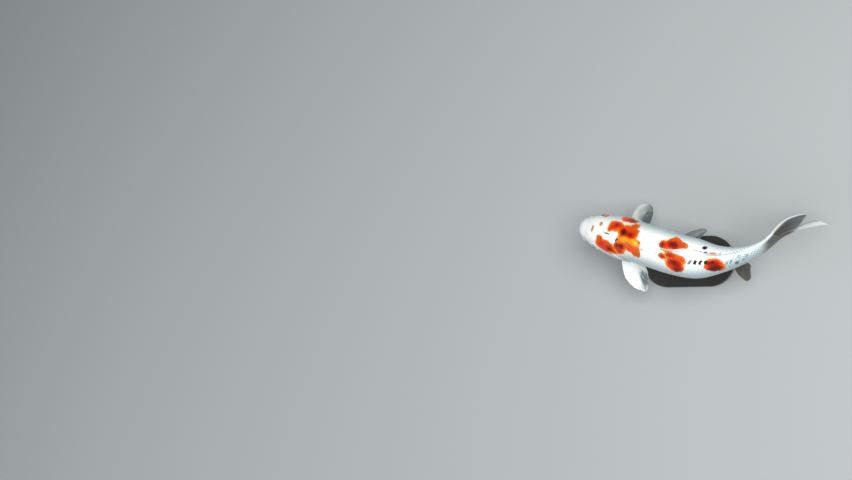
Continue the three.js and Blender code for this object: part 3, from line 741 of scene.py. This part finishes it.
# %% Fin membrane
fin_membrane, tree = new_material("fin_membrane")
across, along, ray, film, dusk, olive = (
    add(tree, "Attribute", attribute_name=key).outputs["Fac"]
    for key in ("across", "along", "ray", "film", "dusk", "olive"))
# Painted shade, broken into streaks that run with the rays: about half a ray wide and a third of
# the fin long.
streak_at = add(tree, "CombineXYZ", {0: across, 1: along})
streak_at = add(tree, "Mapping", {"Vector": streak_at, "Scale": (1.6, 0.35, 1.0)})
cloud = add(tree, "TexNoise", {"Vector": streak_at, "Scale": 1.0, "Detail": 3.0})
shade_streaks = add(tree, "Math", {0: cloud, 1: dusk}, operation="MULTIPLY")
shade_streaks = add(tree, "MapRange", {"Value": shade_streaks, "From Min": 0.12, "From Max": 0.72,
                                 "To Max": 0.9}, interpolation_type="SMOOTHSTEP")
# Painted shade over the milky ground: blue-grey in streaks, and olive-brown.
colour = coats(tree, "FAFBFA", (film, "D3DDDA"), (ray, "F2F5F4", 0.7),
               (shade_streaks, "2F4753"), (olive, "352B17"), (ray, "C5CFCC", 0.14))
thin = add(tree, "Math", {0: ray, 1: 1.0}, operation="SUBTRACT")
thin = add(tree, "Math", {0: thin, 1: film}, operation="MULTIPLY")
alpha = add(tree, "Math", {0: thin, 1: 0.16, 2: 1.0}, operation="MULTIPLY_ADD")
shader = add(tree, "BsdfPrincipled", {
    "Base Color": colour, "Roughness": 0.38, "IOR": 1.38, "Specular IOR Level": 0.3,
    "Alpha": alpha, "Coat Weight": 0.22, "Coat Roughness": 0.15, "Coat IOR": 1.33})
add(tree, "OutputMaterial", {"Surface": shader})
print(fin_membrane.name, len(tree.nodes), "nodes")

# %% [markdown]
# ## The skin, part one: the body
# The body is one tube of rings from the snout to the root of the tail.  Rings stand
# close on the snout, where a quarter circle spaces them, and on the head, which carries
# the relief, and wider under the scales.

# %% Body
AROUND = 224
SNOUT_RINGS, HEAD_RINGS, TRUNK_RINGS, HEEL_RINGS = 46, 150, 50, 7
HEAD_END = 0.335
EDGE_RING = 0.76      # share of the head's rings that lie ahead of the gill cover's edge
# The angles crowd towards the flanks, where the gill cover, eye and mouth need them.
even = np.linspace(-90, 270, AROUND + 1)
ring_turn = even - 8 * np.sin(2 * np.radians(even))


def head_rings(turn):
    """Rings from snout to nape: one lies on the gill cover's edge, the rest spread evenly."""
    q = np.linspace(0, 1, HEAD_RINGS)[:, None]
    edge = cover_line(turn)[None, :] / BODY
    ahead = np.clip(1 - q / EDGE_RING, 0, 1) ** 1.15
    behind = np.clip((q - EDGE_RING) / (1 - EDGE_RING), 0, 1) ** 1.4
    return edge - (edge - NOSE) * ahead + (HEAD_END - edge) * behind


round_off = np.radians(np.linspace(0.3, 90, SNOUT_RINGS))[:, None]
plain = np.ones((1, AROUND + 1))
S = np.concatenate([
    NOSE * (1 - np.cos(round_off)) * plain, head_rings(ring_turn)[1:],
    np.linspace(HEAD_END, 1, TRUNK_RINGS)[1:, None] * plain,
    (1 + HEEL * np.linspace(0, 1, HEEL_RINGS)[1:, None]) * plain])
T = ring_turn[None, :] + 0 * S


def skin_fields(s, turn):
    """What the skin's material reads at every vertex."""
    fields = markings(s, turn)
    fields["slit"], fields["flush"] = openings(body(s, turn))
    return fields


flat = np.stack([mix(0.01, 0.99, S / S.max()), mix(0.01, 0.60, (even + 90) / 360) + 0 * S], -1)
S, T = S[:, :-1], T[:, :-1]
body_part = tube(bend(skin(S, T)), skin_fields(S, T), flat)
print("body", len(body_part["verts"]), "vertices")

# %% [markdown]
# ## The skin, part two: the fins
# Each fin is a surface spanned by its rays: one parameter counts across the rays, the
# other runs along them.  Half the thickness is largest at the fleshy root, swells on each
# ray and thins between, and each ray forks once on its way to the rim.  Rods under a film
# could be modelled one by one; one closed blade has a clean rim and no joins.

# %% Fin blades
def rays(u, v, count):
    """1 on a ray and 0 between, from a cosine; past half way each ray becomes two."""
    one = (0.5 + 0.5 * np.cos(2 * np.pi * count * u)) ** 2.2
    two = (0.5 + 0.5 * np.cos(4 * np.pi * count * u)) ** 1.8
    return mix(one, two, 0.85 * smooth(0.42, 0.75, v))


FIN_ROWS = 0.63, 0.985      # the fins' part of the flat map's height


def blade(place, half, count, cells, along, strip, fields, wave, phase):
    """A fin from place(u, v) in fish coordinates and half its thickness half(u, v).

    It has count rays, cells columns to a ray and along rows; strip is its share of the flat
    map's width, wave and phase the height and start of its folds.
    """
    inner = np.linspace(0, 1, count * cells + 1)
    u = np.concatenate([[0, 0.003], inner[1:-1], [0.997, 1]])
    v = np.concatenate([np.linspace(0, 1, along + 1)[:-1], [0.985, 1]])
    U, V = np.meshgrid(u, v, indexing="ij")
    ray = rays(U, V, count)
    # The rim: the film falls back a little between rays, and no two rays end alike.
    uneven = 0.012 * np.sin(23 * U + 1.7 * phase) * np.sin(41 * U + phase)
    frayed = 1 - smooth(0.8, 1, V) * (0.008 * (1 - ray) + uneven)
    centre = place(U, V * frayed)
    e = 0.01
    du = place(np.clip(U + e, 0, 1), V) - place(np.clip(U - e, 0, 1), V)
    dv = place(U, np.clip(V + e, 0, 1)) - place(U, np.clip(V - e, 0, 1))
    n = unit(np.cross(du, dv))
    fold = wave * V**1.5 * np.sin(2 * np.pi * (2.3 * U + 0.35 * V) + phase)
    rim = np.minimum(smooth(-0.002, 0.02, U), smooth(-0.002, 0.02, 1 - U))
    thick = n * (half(U, V) * (0.52 + 0.48 * ray) * mix(0.5, 1, rim))[..., None]
    centre = centre + n * fold[..., None]
    top, bottom = bend(centre), bend(centre - thick)      # they share the rim
    top[1:-1, 1:-1] = bend(centre + thick)[1:-1, 1:-1]
    half_way, gap = sum(strip) / 2, 0.002
    flat = [np.stack([mix(a + gap, b - gap, U), mix(*FIN_ROWS, V)], -1)[None]
            for a, b in ((strip[0], half_way), (half_way, strip[1]))]
    got = {k: f(U, V)[None] for k, f in fields.items()}
    got.update(ray=ray[None], across=U[None] * count, along=V[None] * 10)
    return plates(top[None], bottom[None], got, *flat, material=1)


# %% Paired fins
SEVEN = [0, 0.15, 0.3, 0.45, 0.6, 0.8, 1]     # rays whose length is given, as shares


def fan(side, root0, root1, sweep, curl, droop, reach, buried, cup):
    """Rays fanning out from a short base, each curved back by half of curl at the rim.

    sweep and droop are the first and last ray's angles: back from straight out, and down.
    """
    def place(u, v):
        down = np.radians(mix(*droop, u))
        full = curve(SEVEN, reach, u)
        length = mix(-buried, full, v)
        out = np.maximum(0, length)
        back = np.radians(mix(*sweep, u) - curl / 2 * out / full)
        bow = cup * (out / reach[3]) ** 2
        return np.stack([
            mix(root0[0], root1[0], u) + length * np.cos(back),
            side * (mix(root0[1], root1[1], u) + length * np.sin(back) * np.cos(down)),
            mix(root0[2], root1[2], u) - length * np.sin(back) * np.sin(down) + bow], -1)
    return place


def flare(v, buried, reach, spread):
    """Extra half thickness where the blade grows out of the flesh."""
    return np.exp(-(np.maximum(0, mix(-buried, reach, v)) / spread) ** 1.5)


def fan_half(buried, reach):
    """Half thickness of a paired fin: thin at the rim, stout at the front and the root."""
    return lambda u, v: (mix(1.35, 0.30, v**0.6) * mix(1, 0.75, u)
                         + 2.0 * flare(v, buried, reach, 9) * (1 - 0.5 * u))


pectoral_left = fan(1, (105.4, 34, -37), (146, 36, -42), (82.3, 41.1), 26, (18, 30),
                    [52, 69.6, 77.7, 82, 65.1, 43.9, 20], 10, -3)
pectoral_right = fan(-1, (108, 34, -37), (130, 36, -42), (133, 94), 56, (32, 40),
                     [59, 68.5, 70, 64.5, 51, 33.5, 19], 10, -3)
pelvic_left = fan(1, (203, 22, -50), (220, 17, -52), (42, 22), 16, (58, 80),
                  [50, 60, 67, 69, 64, 52, 38], 9, -2)
pelvic_right = fan(-1, (203, 22, -50), (220, 17, -52), (69.3, 60), 37, (14, 22),
                   [57, 64.6, 73, 76, 75, 57, 48], 9, -2)

# film is how much light a fin lets through; the rest is painted shade: blue-grey, and olive-brown
# on the far and folded fins.
near_fin = dict(
    film=lambda u, v: smooth(0.15, 0.6, v) * mix(0.25, 1, smooth(0.3, 0.75, u)),
    dusk=lambda u, v: (1.3 * bell(u - 0.64, 0.19) * smooth(0.35, 0.8, v)
                       * (1 - 0.6 * smooth(0.9, 1, v)) + 0.5 * smooth(0.55, 1, v)))
far_fin = dict(
    film=lambda u, v: smooth(0.15, 0.55, v) * mix(0.5, 1, smooth(0.1, 0.5, u)),
    dusk=lambda u, v: (0.35 + 0.6 * smooth(0.1, 0.5, u) * smooth(0.15, 0.8, v)
                       + 0.9 * smooth(0.4, 0.8, u) * smooth(-0.1, 0.4, v)),
    olive=lambda u, v: 0.16 + 0.2 * smooth(0.3, 0.8, v))
folded_fin = dict(
    film=lambda u, v: smooth(0.2, 0.6, v), dusk=lambda u, v: 1.0 + 0.7 * smooth(0.25, 0.9, v),
    olive=lambda u, v: 0.2 + 0 * u)
fin_parts = [
    blade(pectoral_left, fan_half(10, 74), 16, 5, 38, (0.01, 0.21), near_fin, 0.9, 0.4),
    blade(pectoral_right, fan_half(10, 66), 16, 5, 38, (0.21, 0.41), far_fin, 0.9, 2.1),
    blade(pelvic_left, fan_half(9, 60), 9, 5, 30, (0.41, 0.51), folded_fin, 0.6, 1.1),
    blade(pelvic_right, fan_half(9, 60), 9, 5, 30, (0.51, 0.61), folded_fin, 0.7, 3.3),
]

# %% Dorsal and anal fins
def dorsal(u, v):
    """Folded down: the rays leave the ridge at a low angle and lie back along it."""
    rise, buried = np.radians(17), 5.4
    reach = mix(64.0, 24.0, u**0.7) * mix(0.35, 1, smooth(0, 0.06, u)**0.5)
    length = mix(-buried / np.sin(rise), reach, v)
    up = length * np.sin(rise)
    behind = mix(0.49, 0.84, u) * BODY + length * np.cos(rise)
    b = behind / BODY
    lean = -9.0 * smooth(0, 18, up) * smooth(0.52, 0.64, b) * smooth(0.78, 0.66, b)
    return np.stack([behind, lean, curve(AT, BACK, np.minimum(1, b)) * BODY + up], -1)


def anal(u, v):
    """Hangs under the stalk and curls over to the left as the stroke presses it."""
    s = mix(0.76, 0.825, u)
    length = mix(-8, curve([0, 0.25, 0.5, 0.75, 1], [36, 50, 47, 34, 24], u), v)
    curl = np.radians(mix(14, 62, np.clip(length / 48, 0, 1)))
    return np.stack([
        s * BODY + (0.22 + 0.2 * u) * length,
        np.maximum(0, length) * np.sin(curl) * 0.86,
        curve(AT, BELLY, s) * BODY - length * np.cos(curl / 2) * 0.9], -1)


fin_parts += [
    # The dorsal fin has a little painted shade towards its rim; the anal fin much, blue-grey and
    # olive-brown.
    blade(dorsal, lambda u, v: mix(1.45, 0.35, v), 20, 5, 20, (0.61, 0.74),
          dict(film=lambda u, v: 0.15 * smooth(0.5, 1, v), dusk=lambda u, v: 0.1 * v),
          0.25, 0.9),
    blade(anal, lambda u, v: mix(1.3, 0.32, v) + 1.4 * flare(v, 8, 44, 8), 7, 6, 28,
          (0.74, 0.80),
          dict(film=lambda u, v: smooth(0.2, 0.6, v), dusk=lambda u, v: 1.1 * smooth(0, 0.4, v),
               olive=lambda u, v: 0.9 * smooth(0, 0.4, v)), 0.7, 2.6),
]

# %% Tail fin
def lobe_flex(sign, u, v):
    """How far the water presses each lobe to the left (+) or right (-), in mm."""
    along = v**1.5
    if sign > 0:
        belly = np.sin(np.pi * np.clip((v - 0.22) / 0.78, 0, 1))
        return mix(5.1, 2.1, u) * along - 5.5 * u * u * belly
    return (5.1 - 18 * smooth(0, 0.72, u) + 4.5 * smooth(0.75, 1, u)) * along


def lobe(sign):
    """Each ray is a quadratic curve: start on the stalk, bow outwards, end on the rim."""
    def place(u, v):
        start = (-6 + 0 * u, mix(-0.12, 26.0, u))
        bow = (mix(22, 26, u), mix(-0.12, 33, u))
        end = (51.0 + 49.0 * u * mix(1, 0.985, smooth(0.9, 1, u)), mix(-0.12, 86.0, u**1.35))
        back, up = ((1 - v) ** 2 * a + 2 * v * (1 - v) * b + v * v * c
                    for a, b, c in zip(start, bow, end))
        return np.stack([BODY + back, lobe_flex(sign, u, v), sign * up], -1)
    return place


def tail_half(u, v):
    """Thick and fleshy on the stalk, then thin; the outermost rays stay stout."""
    root = mix(4.0, 3.0, u)
    return mix(mix(root, 0.75, smooth(0, 0.34, v)), 0.32, v) + 0.35 * bell(u - 1, 0.06) * (1 - v)


# The tail's painted shade: deep blue-grey towards the upper lobe's rim, lighter grey over the lower
# lobe, olive-brown at both roots.
upper = dict(
    film=lambda u, v: smooth(0.15, 0.5, v) * (1 - bell(u - 1, 0.07)),
    dusk=lambda u, v: 2.6 * smooth(0.3, 0.85, v) * (1 - bell(u - 1, mix(0.16, 0.05, v))),
    olive=lambda u, v: smooth(-0.1, 0.16, v) * smooth(0.94, 0.66, u)
    * smooth(1.0, 0.6, v))
lower = dict(
    film=lambda u, v: 0.6 * smooth(0.15, 0.5, v) * (1 - bell(u - 1, 0.10)),
    dusk=lambda u, v: 0.9 * smooth(0.2, 0.6, v) * (1 - 0.45 * smooth(0.5, 0.9, u)),
    olive=lambda u, v: 0.95 * smooth(-0.1, 0.16, v) * (1 - 0.4 * smooth(0.93, 0.99, u))
    * smooth(0.68, 0.44, v))
fin_parts += [
    blade(lobe(1), tail_half, 10, 6, 44, (0.80, 0.895), upper, 0.5, 0.2),
    blade(lobe(-1), tail_half, 10, 6, 44, (0.895, 0.99), lower, 0.6, 1.9),
]
print("fins", sum(len(p["verts"]) for p in fin_parts), "vertices")

# %% [markdown]
# ## The skin, part three: barbels
# Carp feel for food with two pairs of barbels: a short one on the upper lip and a longer,
# thicker one at the corner of the mouth.  Each is a ring of points carried along a curve
# that leaves the lip and droops, its radius shrinking to a blunt tip.

# %% Barbels
def barbel(s, turn, side, reach, radius, number):
    """Circle of radius r(t) along root + outward * t, sagging with the square of t."""
    t = np.concatenate([np.linspace(-0.6, 0.93, 23), [0.97, 0.99, 1.0]])
    out = t * reach
    sag = 0.012 * np.maximum(out, 0) ** 2
    root = body(s, turn)
    centre = np.stack([root[0] + 0.2 * out + sag, root[1] - 1.4 + 0.8 * out - sag,
                       root[2] - 0.5 * out - sag], -1)
    r = radius * mix(1, 0.5, np.clip(t, 0, 1) ** 2) * np.sqrt(np.clip((1.012 - t) / 0.09, 0, 1))
    r = r * (1 + 0.45 * bell(t, 0.16))
    a = np.linspace(0, 2 * np.pi, 17)[:-1]
    along = unit(np.gradient(centre, axis=0))
    one = unit(np.cross(along, [1.0, 0, 0]))
    two = np.cross(along, one)
    rings = (centre[:, None] + r[:, None, None] * (np.cos(a)[:, None] * one[:, None]
                                                   + np.sin(a)[:, None] * two[:, None]))
    rings[..., 1] *= side
    x = 0.02 + 0.24 * number
    flat = np.stack(np.meshgrid(mix(x, x + 0.2, t * 0.8 + 0.2), mix(0.606, 0.62,
                    np.linspace(0, 1, 17)), indexing="ij"), -1)
    zero = np.zeros((len(t), 16))
    fields = dict.fromkeys([*PATCHES, "faint", "ink"], zero - 9)
    # The barbels take a little of the flanks' painted shade, and a blush of blood at their roots.
    fields.update(flank=zero + 0.2, slit=zero, flush=zero + 0.6 * smooth(0.5, 0, t)[:, None])
    return tube(bend(rings), fields, flat)


barbel_parts = [barbel(s, turn, side, reach, radius, 2 * i + (side < 0))
                for i, (s, turn, reach, radius) in enumerate(BARBELS) for side in (1, -1)]


# %% One skin from lip to tail
koi = make_piece("koi_skin", [body_part] + fin_parts + barbel_parts, [koi_skin, fin_membrane])
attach(koi, "root")
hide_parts("head", "gill_cover_left", "gill_cover_right", "trunk_front", "trunk_rear",
            "tail_stalk", "dorsal_fin", "anal_fin", "pectoral_fin_left", "pectoral_fin_right",
            "pelvic_fin_left", "pelvic_fin_right", "tail_fin_upper", "tail_fin_lower",
            "barbel_lip_left", "barbel_lip_right", "barbel_corner_left", "barbel_corner_right")

# %% [markdown]
# ## Scales
# Scales lie in 28 rows round the body, with about 38 along the side, laid like roof tiles
# from the head back, each row half a tile behind its neighbours.  Each tile is a thin
# closed plate following the body, rising a little towards its free, rounded edge.  A
# pattern in the finish could draw them; plates also catch the light along their edges.

# %% Roots of the scales
ROWS = 28
ROW_STEP = 360 / ROWS
PLATE = 0.16                # thickness of a scale
LAST_ROOT = 452             # no scale is rooted behind this
BARE_RIDGE = 0.487, 0.80    # between these shares of the body the dorsal fin needs the ridge
x_fine = np.linspace(100, 460, 721)
pitch_fine = curve([0.2, 0.3, 0.5, 0.75, 1.05], [8.2, 8.8, 9.6, 8.6, 6.0], x_fine / BODY)
count_fine = np.concatenate([[0], np.cumsum(np.diff(x_fine) / pitch_fine[:-1])])
# By height round the body, from belly to back: the share where the scales start.
START_AT = [-90, -50, -30, 0, 35, 60, 90]
START = [0.262, 0.275, 0.285, 0.29, 0.282, 0.272, 0.268]


def scale_roots():
    """Row and root of every scale; neighbouring rows are half a pitch apart."""
    q, row = np.meshgrid(np.arange(0, int(count_fine[-1]) + 1), np.arange(ROWS), indexing="ij")
    q, row = (q + 0.5 * (row % 2)).ravel(), row.ravel()
    x = np.interp(q, count_fine, x_fine)
    turn = row * ROW_STEP
    height = np.degrees(np.arcsin(np.clip(np.sin(np.radians(turn)), -1, 1)))
    start = np.maximum(curve(START_AT, START, height) * BODY, cover_line(turn) - 10)
    on_ridge = (row == ROWS // 4) & (x > BARE_RIDGE[0] * BODY) & (x < BARE_RIDGE[1] * BODY)
    keep = (x > start) & (x < LAST_ROOT) & ~on_ridge
    return x[keep], turn[keep], row[keep]


root_x, root_turn, root_row = scale_roots()
print(len(root_x), "scales")


# %% Roof of scales
def scales(name, chosen):
    """Plates with (x, turn) = root + (reach(a) b, half width a); height rises with b."""
    x0, t0, row = root_x[chosen], root_turn[chosen], root_row[chosen]
    pitch = np.interp(x0, x_fine, pitch_fine)
    a = np.array([-1, -0.9, -0.5, 0, 0.5, 0.9, 1.0])[None, :, None]
    b = np.array([0, 0.3, 0.6, 0.9, 0.975, 1.0])[None, None, :]
    rng = np.random.default_rng(7)
    pick = rng.random(len(x0))[:, None, None] + 0 * a * b
    L = (1.66 * pitch)[:, None, None]
    reach = L * (1 - 0.40 * np.abs(a) ** 2.4)
    x = x0[:, None, None] + reach * b
    wide = ROW_STEP * (0.72 + 0.30 * np.sin(np.pi * np.clip(b * 0.75, 0, 1)))
    turn = t0[:, None, None] + wide * a + 0 * x
    s = np.minimum(x / BODY, 1 + HEEL)
    lift = -0.04 + 0.42 * (x - x0[:, None, None]) / L + 0.06 * (1 - a * a) * b
    # The first rows are rooted under the gill cover and come out from its groove.
    lift = lift - 5.0 * smooth(7.0, 1.0, x - cover_line(turn))
    bottom = lift - PLATE
    top = bottom.copy()                                    # they share the rim
    top[:, 1:-1, 1:-1] = lift[:, 1:-1, 1:-1]
    fields = skin_fields(s, turn)
    # Pigment sits on whole scales, so its edge is drawn part way towards each scale's own.
    centre_s = np.broadcast_to(x0[:, None, None] / BODY + 0.72 * L / BODY, s.shape)
    own = skin_fields(centre_s, np.broadcast_to(t0[:, None, None], s.shape))
    for key in PATCHES:
        fields[key] = mix(fields[key], own[key], 0.15)
    fields["net"] = mix(0.12, 0.95, smooth(0.62, 0.86, s)) * (0.35 + 0.65 * pick)
    fields["along"] = b + 0 * x
    fields["line"] = np.where((row % (ROWS // 2) == 0)[:, None, None], 1 - np.abs(a), -1) + 0 * x
    fields["drop_u"], fields["drop_v"], fields["drop_dark"] = nearest_drop(
        s * BODY, fields["over"], centre_s * BODY, own["over"])
    for key in ("ink", "slit", "over"):
        del fields[key]
    home = np.stack([mix(0.01, 0.985, x0 / BODY), mix(0.01, 0.98, ((t0 + 90) % 360) / 360)], -1)
    across = (a + 1) / 2 + 0 * b
    flat = [home[:, None, None] + 0.003 * np.stack([b + 0 * across, low + high * across], -1)
            for low, high in ((0, 0.7), (0.75, 0.25))]
    part = plates(bend(skin(s, turn, top)), bend(skin(s, turn, bottom)), fields, *flat)
    piece = make_piece(name, [part], [koi_scale])
    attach(piece, "root")
    return piece


on_left = (root_row <= ROWS // 4) | (root_row >= 3 * ROWS // 4)
scales("scales_left", on_left)
scales("scales_right", ~on_left)

# %% [markdown]
# ## Eyes
# A koi's eye is a ball set in its socket with only a low dome showing: a black pupil, a
# thin gold ring, a silvery iris flecked with dark, all under a clear wet cornea.  The
# ball is a surface of revolution about the socket's axis, so its own rings can tell the
# finish how far from the pupil each point is.

# %% Eyeballs
eye_finish, tree = new_material("eye_under_clear_cornea")
place = add(tree, "TexCoord").outputs["Object"]
fleck = add(tree, "TexNoise", {"Vector": place, "Scale": 1100.0, "Detail": 3.0})
ring = add(tree, "Attribute", attribute_name="ring").outputs["Fac"]
wavy = add(tree, "Math", {0: fleck, 1: 0.5, 2: ring}, operation="MULTIPLY_ADD")
outer = add(tree, "MapRange", {"Value": wavy, "From Min": 4.4, "From Max": 6.0,
                               "To Max": 0.75})
gilt = add(tree, "MapRange", {"Value": wavy, "From Min": 3.5, "From Max": 3.1})
pupil = add(tree, "MapRange", {"Value": ring, "From Min": 2.95, "From Max": 2.75})
colour = coats(tree, "E4DFCE", (fleck, "6B6858"), (outer, "3A3A33"), (gilt, "D8A83A"),
               (pupil, "050505"))
shader = add(tree, "BsdfPrincipled", {"Base Color": colour, "Roughness": 0.25, "IOR": 1.38,
                                      "Coat Weight": 1.0, "Coat Roughness": 0.02,
                                      "Coat IOR": 1.38})
add(tree, "OutputMaterial", {"Surface": shader})


def eyeball(side):
    """Ball of radius r about the socket's axis, its lens pushed out by 0.5 mm."""
    polar = np.radians(np.concatenate([np.linspace(0.5, 64, 40), np.linspace(70, 177, 16)]))
    around = np.radians(np.linspace(0, 360, 49))[:-1]
    axis = unit(EYE["axis"])
    one = unit(np.cross(axis, [0, 0, 1.0]))
    two = np.cross(axis, one)
    # Millimetres from the axis, which the iris is drawn by; the back of the ball has 9.
    ring = np.where(polar < 1.5, EYE["ball"] * np.sin(polar), 9.0)
    r = EYE["ball"] + 0.5 * smooth(3.4, 1.6, ring)
    p, a = polar[:, None, None], around[:, None]
    points = EYE["centre"] + r[:, None, None] * (
        np.cos(p) * axis + np.sin(p) * (np.cos(a) * one + np.sin(a) * two))
    points[..., 1] *= side
    flat = np.stack(np.meshgrid(mix(0.02, 0.98, polar / np.pi), np.linspace(0.02, 0.98, 49),
                                indexing="ij"), -1)
    return tube(bend(points), dict(ring=ring[:, None] + 0 * around), flat)


for side, name in ((1, "left"), (-1, "right")):
    ball = make_piece("eyeball_" + name, [eyeball(side)], [eye_finish])
    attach(ball, "root")
    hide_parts("eye_" + name)

# %% [markdown]
# ## The display stand
# Museum mounts keep out of the way: a low slab of black-stained maple with a satin
# lacquer, and two brushed steel rods.  The solids' shapes are right as they are, so they
# keep their meshes and get finishes.

# %% Stained wood and brushed steel
stained, tree = new_material("black_stained_maple_satin")
place = add(tree, "TexCoord").outputs["Object"]
# Grain runs along the slab: about 1 mm across the fibres and 40 mm along them.
drawn_out = add(tree, "Mapping", {"Vector": place, "Scale": (25.0, 900.0, 300.0)})
fibre = add(tree, "TexNoise", {"Vector": drawn_out, "Scale": 1.0, "Detail": 4.0})
wide_grain = add(tree, "Mapping", {"Vector": place, "Scale": (8.0, 90.0, 60.0)})
figure = add(tree, "TexNoise", {"Vector": wide_grain, "Scale": 1.0, "Detail": 2.0})
colour = coats(tree, "1B1A19", (fibre, "2E2A27"), (figure, "120F0E", 0.5))
rough = add(tree, "MapRange", {"Value": fibre, "To Min": 0.34, "To Max": 0.52})
bump = add(tree, "Bump", {"Height": fibre, "Strength": 0.25, "Distance": 0.0003})
shader = add(tree, "BsdfPrincipled", {"Base Color": colour, "Roughness": rough, "IOR": 1.5,
                                      "Coat Weight": 0.35, "Coat Roughness": 0.3,
                                      "Normal": bump})
add(tree, "OutputMaterial", {"Surface": shader})

steel, tree = new_material("brushed_stainless_steel")
place = add(tree, "TexCoord").outputs["Object"]
# Brushed round the rod: scratches about 0.1 mm apart, drawn at 0.4 mm so they show.
turned = add(tree, "Mapping", {"Vector": place, "Scale": (120.0, 120.0, 2500.0)})
scratch = add(tree, "TexNoise", {"Vector": turned, "Scale": 1.0, "Detail": 2.0})
colour = coats(tree, "B9BBBC", (scratch, "D8D9D9"))
rough = add(tree, "MapRange", {"Value": scratch, "To Min": 0.22, "To Max": 0.40})
bump = add(tree, "Bump", {"Height": scratch, "Strength": 0.12, "Distance": 0.0001})
shader = add(tree, "BsdfPrincipled", {"Base Color": colour, "Metallic": 1.0,
                                      "Roughness": rough, "Normal": bump})
add(tree, "OutputMaterial", {"Surface": shader})

for name, finish in (("stand_base", stained), ("stand_rod_front", steel),
                     ("stand_rod_rear", steel)):
    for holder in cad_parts[name].material_slots:
        holder.material = finish
    print(name, "is", finish.name)

# %% [markdown]
# ## Floor, light and camera
# A plain, pale floor, a broad soft light high over the tail and a weak fill from the head
# end, low in contrast as under an overcast sky.  The floor is a shade darker than the
# fish, so that the white back and fins stand out from it.

# %% Floor
floor_finish, tree = new_material("matt_paper_floor")
place = add(tree, "TexCoord").outputs["Object"]
tooth = add(tree, "TexNoise", {"Vector": place, "Scale": 500.0, "Detail": 2.0})
colour = coats(tree, "A4A8AA", (tooth, "A9ADAF"))
shader = add(tree, "BsdfPrincipled", {"Base Color": colour, "Roughness": 0.85})
add(tree, "OutputMaterial", {"Surface": shader})
floor_mesh = bpy.data.meshes.new("floor")
floor_mesh.from_pydata([(-6, -6, 0), (6, -6, 0), (6, 6, 0), (-6, 6, 0)], [], [(0, 1, 2, 3)])
floor_mesh.materials.append(floor_finish)
floor = bpy.data.objects.new("floor", floor_mesh)
bpy.context.collection.objects.link(floor)


# %% Light
def set_up(thing, where, towards, top):
    """Puts a lamp or camera at where, facing towards, the top of its picture to top."""
    z = unit(np.subtract(where, towards))
    x = unit(np.cross(top, z))
    turned = np.eye(4)
    turned[:3] = np.stack([x, np.cross(z, x), z, where], 1)
    holder = bpy.data.objects.new(thing.name, thing)
    holder.matrix_world = Matrix(turned.tolist())
    bpy.context.collection.objects.link(holder)
    return holder


def softbox(name, where, size, power, tint):
    """A square light facing the middle of the fish."""
    lamp = bpy.data.lights.new(name, "AREA")
    lamp.shape, lamp.size, lamp.energy = "SQUARE", size, power
    lamp.color = hex_colour(tint)[:3]
    set_up(lamp, where, (0, 0, 0.15), (0, 1, 0))


softbox("key_light", (1.55, -0.25, 3.0), 1.9, 128.0, "FFFEFC")
softbox("fill_light", (-1.9, -1.2, 2.2), 2.2, 26.0, "F6F9FB")
world = bpy.data.worlds.new("studio")
world.use_nodes = True
background = world.node_tree.nodes["Background"]
background.inputs[0].default_value = hex_colour("D3D8DB")
background.inputs[1].default_value = 0.36
bpy.context.scene.world = world
# Plain sRGB display, so that saturated orange stays as saturated as the pigment is.
bpy.context.scene.view_settings.view_transform = "Standard"

# %% [markdown]
# ## Camera
# It looks steeply down on the level fish from its left and rear, from 2.5 m away, rolled
# so that the frame's X axis runs level across the picture.  A 50 mm lens at that distance
# keeps the fish small in the frame, as when looking into a pond.

# %% Camera
RISE, LOOK, DISTANCE = np.radians(66.0), np.radians(156.0), 2533.0
SLIDE, CLIMB = 504.9, 21.55        # mm from the fish to the picture's middle
far, high = np.array([np.cos(LOOK), np.sin(LOOK), 0.0]), np.array([0.0, 0.0, 1.0])
sight = np.cos(RISE) * far - np.sin(RISE) * high
upright = np.sin(RISE) * far + np.cos(RISE) * high
sideways = np.cross(sight, upright)
right = sideways * np.sin(LOOK) + upright * np.cos(LOOK)
above = -sideways * np.cos(LOOK) + upright * np.sin(LOOK)
middle = LIFT * high
where = (middle - DISTANCE * sight) * MM
lens = bpy.data.cameras.new("camera")
lens.lens, lens.sensor_width, lens.clip_start, lens.clip_end = 50.0, 36.0, 0.05, 30.0
bpy.context.scene.camera = set_up(
    lens, where, (middle - right * SLIDE + above * CLIMB) * MM, above)
print("camera at", np.round(where, 3))
